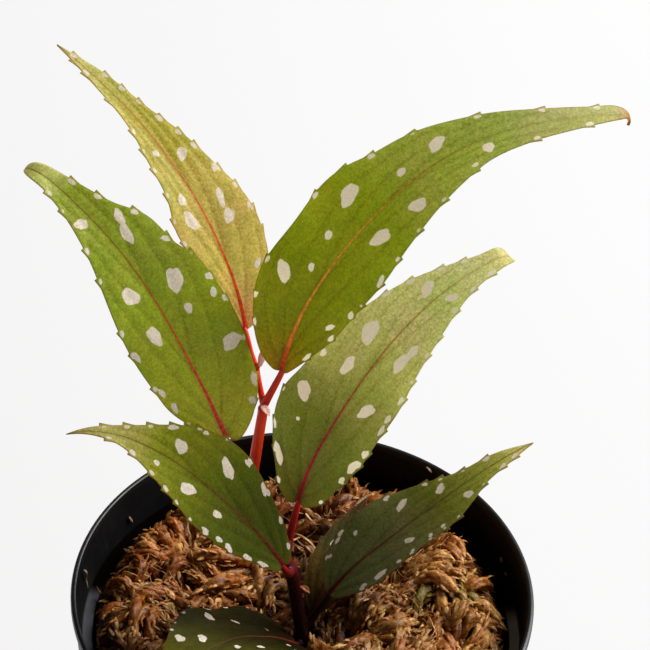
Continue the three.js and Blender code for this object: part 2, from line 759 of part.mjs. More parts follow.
const avoid = []; // what the moss strands must keep clear of
for (const route of [STEM_ROUTE, ...STALKS.map((stalk) => stalk.route)]) {
  const line = new THREE.CatmullRomCurve3(route.map(vector));
  for (const point of line.getSpacedPoints(Math.ceil(line.getLength()))) {
    avoid.push({ point, distance: MOSS.stemClearance });
  }
}
for (const leaf of LEAVES) {
  const geometry = bladeGeometry(leaf);
  addMesh(plant, leaf.name, geometry, leaf.colour, 0.4);
  const position = geometry.attributes.position;
  for (let i = 0; i < position.count; i += 1) {
    const point = new THREE.Vector3().fromBufferAttribute(position, i);
    if (point.z < MOSS.crownHeight + 8) {
      avoid.push({ point, distance: MOSS.leafClearance });
    }
  }
}
for (const stipule of STIPULES) {
  addMesh(plant, stipule.name, bladeGeometry(stipule), stipule.colour, 0.6);
}
addMesh(plant, 'bud', taperedTube(BUD.route, BUD.radii, 8, 6), COLOURS.petal, 0.5);
addMesh(plant, 'moss', mossGeometry(avoid), COLOURS.moss, 0.9);

export default plant;
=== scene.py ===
"""Looks for the spotted begonia in its nursery pot. Lengths in the tables are millimetres."""
import math
import random

import bpy
import numpy as np
from mathutils import Matrix


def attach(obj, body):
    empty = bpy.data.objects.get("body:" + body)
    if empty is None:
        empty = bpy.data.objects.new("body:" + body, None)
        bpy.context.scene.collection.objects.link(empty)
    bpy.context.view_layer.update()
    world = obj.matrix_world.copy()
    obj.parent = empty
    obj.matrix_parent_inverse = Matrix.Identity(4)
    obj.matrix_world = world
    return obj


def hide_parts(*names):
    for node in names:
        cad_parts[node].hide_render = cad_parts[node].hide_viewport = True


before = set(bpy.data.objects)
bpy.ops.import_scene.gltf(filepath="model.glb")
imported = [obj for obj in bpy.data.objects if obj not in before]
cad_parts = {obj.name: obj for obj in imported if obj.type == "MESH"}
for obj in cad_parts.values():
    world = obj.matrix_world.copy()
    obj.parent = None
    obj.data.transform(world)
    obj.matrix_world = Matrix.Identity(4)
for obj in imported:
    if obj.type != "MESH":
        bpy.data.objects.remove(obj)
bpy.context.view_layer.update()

MM = 0.001


# ---------------------------------------------------------------- tables

# Leaves. at: base of the blade. heading, rise and roll: [mm along the midrib, degrees]. left and
# right: edge of each half as [mm along, mm out]. flecks: [along, across, half length, half width,
# degrees]. tints: colour along the blade, as [share of the length, red, green, blue]; besides the
# blade's own colour they hold painted shade, darkest at the base where other leaves shade it, and a
# painted pale sheen towards the tip. ribs: the same for the midrib. glow: how much of the light on
# the blade's far side comes through. Where given, gloss is the skin's refractive index and
# rim_flecks the share of teeth with a fleck.
LEAVES = {
    "leaf_1": dict(
        slot="young_leaf_blade", at=(-12.5, 8.6, 136), length=66, heading=[[0, 140]],
        rise=[[0, 78], [16.5, 57], [33, 38], [49.5, 20], [66, 12]], roll=[[0, 12], [66, 8]],
        left=[[2, 0.8], [8, 2.7], [15, 5.3], [23, 6.7], [30, 4.9], [37, 3.9], [45, 2.3], [56, 1.2], [66, 0]],
        right=[[1.6, 2.8], [7.7, 6.4], [14, 8.6], [23, 8.6], [31, 6.6], [39, 4.6], [46, 2.9], [56, 1.8],
               [66, 0]],
        left_teeth=[21.5, 26, 30.5, 35.5, 39.5, 43.5, 51, 58, 61.5],
        right_teeth=[17, 21, 26, 30, 35.5, 39, 43, 47.5, 51.5, 55.5, 62.5],
        flecks=[[11.5, 5.5, 1, 0.6, 55], [21.5, 4, 1.3, 1.1, 20], [25, 4.2, 1.8, 0.7, 15],
                [24, -3, 1.9, 1.1, -10], [28, -2.5, 1.1, 0.8, 0], [35, 2.5, 1.3, 0.9, 30],
                [37.5, -1.5, 0.7, 0.6, 0], [30, 6.2, 0.8, 0.5, 30], [21.5, 8.2, 0.7, 0.3, 30]],
        tints=[[0, 255, 186, 124], [0.15, 226, 200, 104], [0.3, 206, 181, 94], [0.45, 197, 180, 80],
               [0.57, 191, 177, 65], [0.7, 196, 188, 77], [0.85, 208, 198, 120], [1, 226, 218, 150]],
        ribs=[[0, 226, 60, 30], [0.4, 214, 100, 50], [0.75, 176, 130, 60], [1, 176, 150, 76]], glow=0.5,
    ),
    "leaf_2": dict(
        slot="leaf_blade", at=(-5.5, 2, 132.5), length=89.5, heading=[[0, 20]],
        rise=[[0, 80], [22, 59], [43.5, 42], [65, 7], [86.5, -12], [88.2, -70], [89.5, -115]],
        roll=[[0, -30], [87, -15]],
        left=[[-0.5, 2], [2, 5.6], [8, 9.7], [15, 11.2], [28, 11.1], [37, 10.8], [44, 8.5], [52, 6.7],
              [60, 4.8], [70, 2.9], [80, 1.9], [85.5, 1.9], [89.5, 0]],
        right=[[0.7, 1.6], [7, 5.3], [14, 8.2], [22, 9.8], [30, 10.1], [38, 9.4], [46, 7.7], [53, 6.3],
               [60, 4.5], [68, 3.6], [76, 2.8], [84, 1.4], [89.5, 0]],
        left_teeth=[6, 10.5, 17.5, 31.5, 38, 43, 50.5, 61, 72, 82],
        right_teeth=[7, 14, 21, 24, 29.5, 35.5, 42, 49, 56.5, 69, 79.5],
        flecks=[[7, 4.8, 1.3, 0.4, 25], [10.5, -9.8, 0.7, 0.3, 5], [14.5, 7.8, 0.4, 0.2, 10],
                [15.5, 6.5, 1.2, 0.5, 35], [17.5, -7, 2, 1.3, -55], [21, 8.8, 0.8, 0.3, 10],
                [21.5, -3, 0.9, 0.6, -25], [28, -4, 1, 0.7, -25], [30, 9.4, 1, 0.4, -10],
                [35, 4, 2.2, 1.3, 15], [35.5, -6, 2.3, 1.4, -25], [44, 4.5, 1.9, 1.1, 25],
                [45, -2.5, 0.9, 0.7, -20], [52.5, -3, 1.6, 1.1, -20], [56.5, 4.3, 0.7, 0.4, -10],
                [60, 2, 1.1, 1, 20]],
        tints=[[0, 140, 104, 16], [0.13, 122, 126, 5], [0.3, 146, 158, 20], [0.43, 156, 170, 28],
               [0.56, 176, 186, 76], [0.7, 161, 173, 75], [0.85, 178, 176, 100], [0.95, 190, 186, 104],
               [1, 200, 120, 76]],
        ribs=[[0, 214, 66, 44], [0.08, 210, 104, 44], [0.18, 208, 140, 50], [0.4, 204, 150, 60],
              [0.52, 164, 134, 50], [0.7, 146, 146, 56], [1, 176, 166, 90]],
        glow=0.65, gloss=1.45,
    ),
    "leaf_3": dict(
        slot="leaf_blade", at=(-15.6, -1.4, 119.5), length=69,
        heading=[[0, 170], [62, 170], [64.5, 150], [66.5, 128], [69, 105]],
        rise=[[0, 69], [16.5, 66], [33, 62], [49.5, 49], [62, 41], [64.5, 5], [66.5, -32], [69, -58]],
        roll=[[0, 50], [64, 32], [69, 45]],
        left=[[-0.2, 1.3], [4.8, 4.7], [11.4, 7.6], [18.7, 8.7], [26, 9.1], [33.5, 8.8], [41, 7.1],
              [48, 5.2], [55, 3.3], [60, 2.3], [65, 1.5], [69, 0]],
        right=[[-2.5, 1.2], [-2, 3.2], [1, 6.2], [6.7, 9.5], [13.6, 11], [23, 11.6], [33, 11], [38.5, 8.7],
               [45, 7.8], [51, 4.8], [57, 3.1], [62, 2.1], [65, 1.5], [69, 0]],
        left_teeth=[2, 7, 18, 26.5, 32, 43, 49, 57, 61],
        right_teeth=[3.5, 8, 16, 24.5, 29.5, 35.5, 40.5, 47.5, 54, 59],
        flecks=[[4, 7, 0.8, 0.6, 25], [7.5, 9, 1.5, 0.5, 15], [11.5, -6.5, 1.4, 0.5, 0],
                [16, -7.4, 1.2, 0.5, -15], [16.5, 8.5, 2, 1.6, 85], [25.5, -8.3, 1.5, 0.5, -5],
                [26.5, -3.5, 2.2, 1.2, -10], [26.5, 10, 0.9, 0.7, 15], [24.5, 11, 0.6, 0.4, 25],
                [29.5, 10.5, 0.7, 0.4, -15], [27, 4.5, 1.2, 0.7, 10], [33, 5, 2.4, 1.5, 20],
                [36, -3.5, 2.2, 1.3, -20], [40, 7.7, 0.9, 0.5, -35], [45.3, 2.9, 2.1, 0.85, 8],
                [48.3, 3.9, 1.6, 0.8, 20], [52.5, -2, 1.4, 0.9, -40]],
        tints=[[0, 178, 178, 46], [0.15, 184, 183, 40], [0.3, 153, 163, 27], [0.45, 147, 158, 30],
               [0.6, 143, 157, 40], [0.85, 144, 158, 40], [0.93, 210, 216, 120], [1, 220, 212, 132]],
        ribs=[[0, 228, 66, 60], [0.2, 214, 72, 40], [0.35, 190, 84, 36], [0.55, 140, 84, 26],
              [0.85, 112, 100, 30], [1, 140, 120, 60]],
        glow=0.45,
    ),
    "leaf_4": dict(
        slot="leaf_blade", at=(-1.5, 3, 99), length=69, heading=[[0, 26], [63.5, 26], [66, 45], [69, 78]],
        rise=[[0, 78], [16, 62], [32.5, 55], [49, 38], [63.5, 14], [66, -40], [69, -68]],
        roll=[[0, -25], [63, -15]],
        left=[[-1.5, 1.4], [0.1, 4.2], [4.4, 7], [10, 10.5], [17.6, 12.3], [22.5, 11.9], [30, 10.9],
              [38, 9.2], [46, 6.9], [53, 4.5], [60, 2.5], [65, 2], [69, 0]],
        right=[[-0.4, 1.9], [3.3, 5.4], [9.6, 7.8], [17.4, 9.7], [26, 9.9], [34, 9.4], [42, 7.7], [50, 5.5],
               [57.4, 3.3], [63, 2.3], [66, 1.5], [69, 0]],
        left_teeth=[2, 7, 12, 18, 44, 49, 54.5, 58.5],
        right_teeth=[4, 11, 16.5, 20, 25.5, 33, 37, 42.5, 46.5, 52, 57, 61.5],
        flecks=[[6.5, -7, 2.2, 0.8, -40], [11, -10.3, 0.8, 0.4, -30], [11, 7.4, 0.9, 0.5, 20],
                [15, -6.5, 0.5, 0.4, -70], [15, 8.2, 1.9, 0.8, 12], [19, 9.1, 0.9, 0.6, 10],
                [20, -8.5, 1.9, 1.4, -50], [25, 9.3, 1.2, 0.45, -5], [25.5, 4.5, 2.2, 1, 25],
                [27.5, 9, 1, 0.5, 5], [28, -9.5, 0.9, 0.6, 20], [29.5, -4, 2.1, 1, 5], [32, 9, 1.1, 0.4, 0],
                [37, -4.5, 2.5, 1.4, -10], [37.3, 4.4, 2.2, 1.2, 5], [40.3, 4.7, 1.6, 0.9, 0],
                [44, -7.2, 0.9, 0.4, 20], [50, -2.5, 1.6, 1, -25], [51.5, 4.3, 0.5, 0.3, -25],
                [52.5, 2, 1.4, 0.7, 25]],
        tints=[[0, 84, 72, 14], [0.14, 100, 106, 34], [0.28, 120, 128, 46], [0.42, 168, 171, 86],
               [0.56, 212, 211, 132], [0.7, 220, 224, 144], [0.85, 216, 221, 150], [1, 222, 214, 130]],
        ribs=[[0, 140, 12, 28], [0.2, 146, 30, 44], [0.34, 150, 60, 54], [0.5, 172, 110, 66],
              [0.65, 172, 144, 84], [0.85, 180, 174, 104], [1, 190, 180, 116]],
        glow=0.65, gloss=1.45,
    ),
    "leaf_5": dict(
        slot="leaf_blade", at=(-4, -8, 92.7), length=57.2, heading=[[0, 190]],
        rise=[[0, 63], [14.5, 55], [29, 51], [43.5, 36], [52, 12], [57.2, -14]], roll=[[0, 50], [57.2, 30]],
        left=[[0.5, 2.1], [7.9, 4.9], [15, 7], [22.7, 7.7], [29, 7.4], [36, 5.8], [43, 3.3], [49, 1.3],
              [57.2, 0]],
        right=[[-1, 1], [0.7, 2.6], [7.2, 5.1], [16.4, 8.1], [25.6, 9.6], [33.4, 8], [40.7, 4.7], [47, 2.1],
               [57.2, 0]],
        left_teeth=[5, 9.5, 15, 19, 22.5, 27.5, 32.5, 36, 40, 45, 50],
        right_teeth=[2.5, 8, 14, 21.5, 28, 34, 39, 43, 47, 51],
        flecks=[[2.5, 2.9, 0.6, 0.3, 15], [5, -3.4, 1.7, 0.35, -20], [9.5, -4.9, 1.5, 0.45, -15],
                [15, 6.8, 1.4, 0.6, 30], [15.5, -6.3, 1.2, 0.5, -5], [18.5, -6.5, 1.1, 0.45, -10],
                [21.5, -3, 1.2, 0.7, -10], [21.5, 8.2, 0.9, 0.4, 10], [22.5, -6.9, 1, 0.4, -5],
                [24.5, 5, 2.2, 1.1, 25], [30.5, -3, 2, 1.1, -15], [32, 7.8, 0.7, 0.4, -25],
                [35.5, 3, 1.6, 1.1, 15], [38.5, 5.2, 1.2, 0.4, -25], [39, -2, 0.7, 0.5, 5]],
        tints=[[0, 84, 88, 22], [0.15, 76, 82, 10], [0.28, 74, 82, 8], [0.42, 88, 96, 10],
               [0.56, 114, 118, 15], [0.7, 142, 144, 31], [0.85, 182, 176, 93], [1, 190, 184, 104]],
        ribs=[[0, 110, 12, 16], [0.12, 98, 40, 18], [0.3, 92, 52, 20], [0.7, 104, 84, 28],
              [1, 150, 130, 70]],
        glow=0.4, gloss=1.2,
    ),
    "leaf_6": dict(
        slot="shaded_leaf_blade", at=(5, 2, 74.5), length=50.5, heading=[[0, 24]],
        rise=[[0, 54], [12.5, 34], [25, 33], [37.5, 29], [50, 18]], roll=[[0, -18], [50, -10]],
        left=[[0.8, 1.8], [3.6, 4.9], [9.2, 7.3], [15.7, 8.1], [20, 7.7], [26, 5.8], [35, 2.8], [43, 1.9],
              [50.5, 0]],
        right=[[1.6, 2.5], [6.8, 5.2], [11.5, 6.1], [20, 5.9], [29, 5.8], [34.4, 4.4], [39.2, 2.5],
               [45, 1.4], [50.5, 0]],
        left_teeth=[5, 10, 14.5, 21.5, 29, 32, 36.5, 41.5],
        right_teeth=[7, 11, 15.5, 19.5, 24, 27.5, 31, 38.5, 43.5, 46.5],
        flecks=[[5.5, -4.9, 0.5, 0.3, -5], [7.5, 4.6, 0.8, 0.35, 15], [8.5, -6.3, 0.9, 0.35, -15],
                [11.5, 5.1, 1.6, 0.5, 0], [12, -5, 0.6, 0.4, -40], [16, 5.3, 0.6, 0.3, 0],
                [19.5, 5.3, 0.5, 0.25, 0], [20, 3, 1.1, 0.5, 25], [20.5, -6.8, 0.5, 0.3, 45],
                [22.5, -4, 1.5, 0.7, -25], [24, 5, 0.5, 0.4, -15], [27, 4.9, 0.6, 0.3, -10],
                [30.5, -2, 1.2, 0.7, -25], [34.5, 2.5, 1.1, 0.7, 20]],
        tints=[[0, 110, 114, 66], [0.15, 102, 107, 60], [0.28, 94, 97, 53], [0.42, 109, 110, 61],
               [0.57, 114, 117, 41], [0.72, 144, 148, 56], [0.85, 180, 176, 82], [0.93, 216, 202, 128],
               [1, 220, 206, 132]],
        ribs=[[0, 96, 14, 18], [0.25, 84, 44, 30], [0.7, 100, 92, 44], [1, 130, 120, 60]], glow=0.45,
    ),
    "leaf_7": dict(
        slot="shaded_leaf_blade", at=(-1, -4.5, 67), length=54, heading=[[0, 220], [27, 242], [54, 228]],
        rise=[[0, 45], [27, 34], [54, -20]], roll=[[0, -6], [54, -4]],
        left=[[0.5, 2], [2, 5], [7.5, 8.4], [15, 9.8], [24, 9.4], [32, 7.2], [40, 4.5], [47, 2.3], [54, 0]],
        right=[[-1.2, 2], [-1.8, 5], [0.5, 8.6], [6, 11.3], [14, 12.3], [23, 11.9], [31, 9.8], [39, 6.2],
               [47, 3.1], [54, 0]],
        left_teeth=[6, 11, 16, 21, 26, 31, 36, 41.5, 47],
        right_teeth=[5, 10, 15, 20.5, 24, 29, 34, 39.5, 45.5],
        flecks=[[10.5, -5, 1.3, 0.5, -25], [14.5, 5.5, 1, 0.6, 70], [20, 8, 1.7, 0.9, -55],
                [29, -3.5, 1, 0.6, -35], [31, 3, 1.4, 0.9, -30], [35, 5.5, 1.2, 1, -30],
                [42, -1, 1.1, 0.7, 10], [24, -6, 1.2, 0.6, 10]],
        tints=[[0, 38, 21, 2], [0.2, 25, 23, 1], [0.4, 39, 37, 2], [0.6, 68, 65, 5], [0.8, 84, 80, 14],
               [1, 120, 110, 40]],
        ribs=[[0, 110, 30, 26], [0.4, 84, 50, 26], [1, 100, 90, 44]], glow=0.3, gloss=1.2,
    ),
    "leaf_8": dict(
        slot="shaded_leaf_blade", at=(2.2, 3.2, 68), length=26, heading=[[0, 62]],
        rise=[[0, 50], [13, 36], [26, 15]], roll=[[0, -10]],
        left=[[1, 2], [5, 3.8], [11, 4.4], [17, 3.2], [22, 1.4], [26, 0]],
        right=[[1, 2], [5, 3.6], [11, 4], [17, 3], [22, 1.3], [26, 0]], left_teeth=[6, 10, 14, 18, 22],
        right_teeth=[6, 10, 14, 18, 22], flecks=[[9, 1.8, 0.8, 0.5, 10], [14, -1.6, 0.9, 0.5, 0]],
        tints=[[0, 34, 24, 4], [0.28, 108, 86, 37], [0.42, 120, 100, 48], [0.57, 75, 76, 41],
               [0.8, 70, 56, 24], [1, 48, 20, 6]],
        ribs=[[0, 96, 26, 26], [1, 80, 60, 34]], glow=0.3, gloss=1.2, rim_flecks=0.1,
    ),
}

# Papery scales, as small blades with neither teeth nor veins.
SCALES = {
    "stipule_1": dict(
        at=(-9.1, 1.15, 124.2), length=2.6, heading=[[0, -25]], rise=[[0, -5], [2.6, -80]], roll=[[0, 0]],
        left=[[0.4, 0.6], [1.3, 0.7], [2.6, 0]], right=[[0.4, 0.6], [1.3, 0.7], [2.6, 0]],
    ),
    "stipule_2": dict(
        at=(-0.5, -1.3, 79.9), length=2.6, heading=[[0, -35]], rise=[[0, 25], [2.6, -55]], roll=[[0, 0]],
        left=[[0.4, 0.5], [1.3, 0.55], [2.6, 0]], right=[[0.4, 0.5], [1.3, 0.55], [2.6, 0]],
    ),
}

STEM_ROUTE = [
    (0.4, 0, 46), (0.1, 0, 64), (-1.2, 0, 74.5), (-2.6, 0, 83), (-6.5, 0.8, 91.5), (-10.7, 1.5, 100),
    (-10.2, 2, 108), (-8.6, 3, 123),
]
STEM_RADII = [1.35, 1.35, 1.35, 1.35, 1.3, 1.2, 1.1, 0.95]

# Stalks: the leaf each one carries, its route and its radii. The first carries the tip bud.
STALKS = [
    (None, [(-8.6, 3, 122.6), (-9.6, 4.5, 126.5), (-10.1, 6, 129), (-9.6, 5.7, 130.8)],
     [0.7, 0.6, 0.55, 0.4]),
    ("leaf_1", [(-10.1, 6, 128.8), (-11.4, 7.2, 131.8), (-12.3, 7.9, 135.5)], [0.6, 0.6, 0.6]),
    ("leaf_2", [(-8.6, 3, 123), (-7.2, 2.5, 127), (-5.7, 2.1, 131.4)], [0.85, 0.7, 0.65]),
    ("leaf_3", [(-10.7, 1.5, 100), (-14, 1.4, 109), (-15.4, -0.3, 117.8)], [0.9, 0.75, 0.7]),
    ("leaf_4", [(-3.6, 0.4, 85.5), (-2.8, 1.9, 91.5), (-1.6, 2.9, 98)], [1, 0.85, 0.75]),
    ("leaf_5", [(-2.6, 0, 83), (-2.7, -3.9, 86), (-3.7, -7.4, 90.9)], [1, 0.8, 0.7]),
    ("leaf_6", [(0, 0, 65.5), (2.4, 1, 69.3), (4.6, 1.9, 73.3)], [0.95, 0.8, 0.7]),
    ("leaf_7", [(0.2, 0, 62.5), (-0.3, -2.2, 64.4), (-0.8, -3.6, 65.7)], [0.95, 0.85, 0.75]),
    ("leaf_8", [(0.1, 0, 64), (1.2, 1.4, 66), (2, 2.8, 67.6)], [0.9, 0.7, 0.65]),
]
# Colour of the skin at a height: dark crimson low down, orange-red above. The dark low part is
# partly the skin's own colour and partly painted shade, where the low leaves shade the stem.
STEM_TINTS = [[62, 20, 1, 4], [74, 30, 1, 5], [81, 44, 2, 7], [88, 90, 5, 12], [95, 150, 12, 12],
              [99, 200, 34, 4], [118, 226, 58, 4], [124, 204, 36, 12], [136, 226, 70, 40]]
STEM_JOINTS = [(0.05, 0, 65), (-2.6, 0, 83), (-10.7, 1.5, 100), (-8.6, 3, 123)]

# Pot: outer and inner profile as (radius, height), from the middle of the base outwards and up.
LEDGE_HEIGHT = 66.8
POT_PROFILE = [
    (0, 0), (30.2, 0), (30.7, 0.15), (31, 0.6), (41.6, 65), (41.95, 65.55), (42.6, 65.75), (43.3, 65.9),
    (43.75, 66.3), (43.9, 66.9), (44.35, 75.6), (44.5, 76), (44.85, 76.25), (45, 76.6), (45, 77.4),
    (44.85, 77.8), (44.5, 78), (44.2, 78), (43.98, 77.85), (43.9, 77.5), (42.95, 67.4), (42.75, 66.95),
    (42.4, 66.8), (41.5, 66.8), (41.15, 66.65), (41, 66.3), (30.35, 1.9), (30.1, 1.4), (29.6, 1.2), (0, 1.2),
]
POT_SIDES, POT_HOLES, POT_HOLE_CIRCLE, POT_HOLE_RADIUS = 192, 6, 20, 4

MOSS_EDGE, MOSS_CROWN, MOSS_REACH = 65, 71, 39.5
BED_DEPTH, BED_RADIUS, BED_RINGS, BED_SPOKES = 3.2, 39.6, 80, 200  # the matted mass under the strands
TUFTS, RIBBONS, WISPS = 175, 50, 160
LOOSE_BITS = [  # crumbs on the collar's inner wall, as short lines
    [(-43.1, 3.2, 77.1), (-42.6, 4.4, 75), (-42.8, 4.8, 72.8), (-42.3, 4.2, 70.3)],
    [(-36, 23.4, 72), (-35.3, 24.2, 69.8)],
    [(39.4, 16.8, 72.3), (39.6, 15.8, 71.4)],
    [(40.3, 13.8, 71.2), (40.5, 13, 70.6)],
    [(23.9, 36.2, 77.6), (24.6, 35.8, 77.4), (25.2, 35.2, 76.9)],
]


# ---------------------------------------------------------------- camera and stage

def linear(red, green, blue):
    """Screen colour, 0 to 255, as linear light."""
    def one(value):
        value /= 255
        return value / 12.92 if value <= 0.04045 else ((value + 0.055) / 1.055) ** 2.4
    return (one(red), one(green), one(blue))


# Camera: pitch and tilt in degrees, place and lens in mm. Key light: place, target and side in metres.
CAMERA_PITCH, CAMERA_TILT, CAMERA_PLACE = 40.49, 2.65, (1.928, -347.91, 442.55)
CAMERA_LENS, CAMERA_SENSOR = 142.84, 36
KEY_PLACE, KEY_TARGET, KEY_SIDE, KEY_POWER = (1.29, 0.65, 1.49), (0, 0, 0.08), 1.35, 94
FLOOR_REACH, FLOOR_GREY, FLOOR_GLOW = 6, 0.28, 0.5


def link(name, data):
    thing = bpy.data.objects.new(name, data)
    bpy.context.scene.collection.objects.link(thing)
    return thing


def place_axes(thing, across, upright, back, place):
    """Sets an object by its three axes and its place."""
    rows = [[across[i], upright[i], back[i], place[i]] for i in range(3)]
    thing.matrix_world = Matrix([*rows, [0, 0, 0, 1]])


def add_camera():
    pitch, tilt = math.radians(CAMERA_PITCH), math.radians(CAMERA_TILT)
    ahead = np.array([0, math.cos(pitch), -math.sin(pitch)])
    up = np.array([0, math.sin(pitch), math.cos(pitch)])
    level = np.array([1.0, 0, 0])
    across = math.cos(tilt) * level + math.sin(tilt) * up
    upright = math.cos(tilt) * up - math.sin(tilt) * level
    camera = link("camera", bpy.data.cameras.new("camera"))
    place_axes(camera, across, upright, -ahead, np.array(CAMERA_PLACE) * MM)
    camera.data.sensor_width = CAMERA_SENSOR
    camera.data.lens = CAMERA_LENS
    camera.data.clip_start = 0.01
    bpy.context.scene.camera = camera


def add_softbox():
    """One large soft light, from the upper right and rear."""
    light = bpy.data.lights.new("key_softbox", "AREA")
    light.shape = "SQUARE"
    light.size = KEY_SIDE
    light.energy = KEY_POWER
    aim = np.array(KEY_TARGET) - np.array(KEY_PLACE)
    aim /= np.linalg.norm(aim)
    side = np.cross(aim, [0, 0, 1.0])
    side /= np.linalg.norm(side)
    place_axes(link("key_softbox", light), side, np.cross(side, aim), -aim, KEY_PLACE)


SKY_LOW, SKY_HIGH, SKY_FRONT = 0.5, 0.06, 0.5


def add_world():
    """A studio with pale walls, bright low down, darker overhead and behind the camera."""
    world = bpy.data.worlds.new("studio")
    bpy.context.scene.world = world
    world.use_nodes = True
    tree = world.node_tree
    background = tree.nodes["Background"]
    background.inputs["Strength"].default_value = 1
    way = tree.nodes.new("ShaderNodeSeparateXYZ")
    tree.links.new(tree.nodes.new("ShaderNodeTexCoord").outputs["Generated"], way.inputs[0])
    level = tree.nodes.new("ShaderNodeMath")
    level.operation = "MULTIPLY"
    for socket, axis, start, end, low, high in (
        (0, "Z", 0.05, 0.6, SKY_LOW, SKY_HIGH), (1, "Y", -1, 0.3, SKY_FRONT, 1),
    ):
        ramp = tree.nodes.new("ShaderNodeMapRange")
        ramp.inputs["From Min"].default_value = start
        ramp.inputs["From Max"].default_value = end
        ramp.inputs["To Min"].default_value = low
        ramp.inputs["To Max"].default_value = high
        tree.links.new(way.outputs[axis], ramp.inputs["Value"])
        tree.links.new(ramp.outputs["Result"], level.inputs[socket])
    tree.links.new(level.outputs[0], background.inputs["Color"])


def add_stage():
    add_world()
    add_softbox()
    bpy.context.scene.view_settings.view_transform = "Standard"
    mesh = bpy.data.meshes.new("floor")
    corners = [(x * FLOOR_REACH, y * FLOOR_REACH, 0) for x, y in ((-1, -1), (1, -1), (1, 1), (-1, 1))]
    mesh.from_pydata(corners, [], [(0, 1, 2, 3)])
    paint = Paint("floor_paint")
    paint.set(Base_Color=(FLOOR_GREY,) * 3, Emission_Color=(1, 0.99, 0.99), Emission_Strength=FLOOR_GLOW)
    paint.set(Roughness=0.9, Specular_IOR_Level=0.1)
    mesh.materials.append(paint.material)
    link("floor", mesh)


# ---------------------------------------------------------------- node materials

class Paint:
    """A node material being put together round one Principled shader."""

    def __init__(self, name):
        self.material = bpy.data.materials.new(name)
        self.material.use_nodes = True
        self.tree = self.material.node_tree
        self.shader = self.tree.nodes["Principled BSDF"]
        self.output = self.tree.nodes["Material Output"]
        self.place = self.add("ShaderNodeTexCoord").outputs["Object"]

    def add(self, kind, **settings):
        node = self.tree.nodes.new(kind)
        for key, value in settings.items():
            setattr(node, key, value)
        return node

    def feed(self, socket, value):
        """Links a socket, or sets a plain value on it."""
        if isinstance(value, bpy.types.NodeSocket):
            self.tree.links.new(value, socket)
        elif isinstance(value, (tuple, list)) and len(value) == 3 and socket.type == "RGBA":
            socket.default_value = (*value, 1)
        else:
            socket.default_value = value

    def set(self, **values):
        for key, value in values.items():
            self.feed(self.shader.inputs[key.replace("_", " ")], value)

    def noise(self, size, detail=3, roughness=0.55, stretch=None, place=None):
        """Noise with lumps of about this many millimetres, from 0 to 1."""
        node = self.add("ShaderNodeTexNoise")
        node.inputs["Scale"].default_value = 1 / (size * MM)
        node.inputs["Detail"].default_value = detail
        node.inputs["Roughness"].default_value = roughness
        place = place or self.place
        if stretch:
            mapping = self.add("ShaderNodeMapping")
            mapping.inputs["Scale"].default_value = stretch
            self.feed(mapping.inputs["Vector"], place)
            place = mapping.outputs["Vector"]
        self.feed(node.inputs["Vector"], place)
        return node.outputs["Fac"]

    def cells(self, size, output="Distance"):
        node = self.add("ShaderNodeTexVoronoi")
        node.inputs["Scale"].default_value = 1 / (size * MM)
        self.feed(node.inputs["Vector"], self.place)
        return node.outputs[output]

    def net(self, size):
        """Distance to the nearest line of an irregular net, in cells."""
        bend = self.add("ShaderNodeTexNoise")
        bend.inputs["Scale"].default_value = 1 / (size * 0.8 * MM)
        self.feed(bend.inputs["Vector"], self.place)
        move = self.add("ShaderNodeVectorMath", operation="MULTIPLY_ADD")
        self.feed(move.inputs[0], bend.outputs["Color"])
        move.inputs[1].default_value = (size * 0.5 * MM,) * 3
        self.feed(move.inputs[2], self.place)
        node = self.add("ShaderNodeTexVoronoi", feature="DISTANCE_TO_EDGE")
        node.inputs["Scale"].default_value = 1 / (size * MM)
        self.feed(node.inputs["Vector"], move.outputs["Vector"])
        return node.outputs["Distance"]

    def attribute(self, name, output="Fac"):
        return self.add("ShaderNodeAttribute", attribute_name=name).outputs[output]

    def axes(self):
        """The three coordinates of a point, in metres."""
        node = self.add("ShaderNodeSeparateXYZ")
        self.feed(node.inputs[0], self.place)
        return node.outputs

    def math(self, operation, a, b=None):
        node = self.add("ShaderNodeMath", operation=operation)
        self.feed(node.inputs[0], a)
        if b is not None:
            self.feed(node.inputs[1], b)
        return node.outputs[0]

    def spread(self, value, low, high, out_low=0.0, out_high=1.0, smooth=True):
        node = self.add("ShaderNodeMapRange", interpolation_type="SMOOTHSTEP" if smooth else "LINEAR")
        for key, number in (("Value", value), ("From Min", low), ("From Max", high),
                            ("To Min", out_low), ("To Max", out_high)):
            self.feed(node.inputs[key], number)
        return node.outputs["Result"]

    def mix(self, share, a, b, blend="MIX"):
        node = self.add("ShaderNodeMix", data_type="RGBA", blend_type=blend)
        self.feed(node.inputs[0], share)
        self.feed(node.inputs[6], a)
        self.feed(node.inputs[7], b)
        return node.outputs[2]

    def darken(self, colour, share):
        """Multiplies a colour by a grey from a 0 to 1 socket."""
        grey = self.add("ShaderNodeCombineColor")
        for i in range(3):
            self.feed(grey.inputs[i], share)
        return self.mix(1.0, colour, grey.outputs[0], "MULTIPLY")

    def bump(self, height, distance, strength=1.0, under=None):
        node = self.add("ShaderNodeBump")
        node.inputs["Strength"].default_value = strength
        node.inputs["Distance"].default_value = distance * MM
        self.feed(node.inputs["Height"], height)
        if under is not None:
            self.feed(node.inputs["Normal"], under)
        return node.outputs["Normal"]

    def translucent(self, colour, share, normal=None):
        """Lets light from behind through, in this colour."""
        glow = self.add("ShaderNodeBsdfTranslucent")
        self.feed(glow.inputs["Color"], colour)
        if normal is not None:
            self.feed(glow.inputs["Normal"], normal)
        mixer = self.add("ShaderNodeMixShader")
        self.feed(mixer.inputs[0], share)
        self.tree.links.new(self.shader.outputs[0], mixer.inputs[1])
        self.tree.links.new(glow.outputs[0], mixer.inputs[2])
        self.tree.links.new(mixer.outputs[0], self.output.inputs["Surface"])


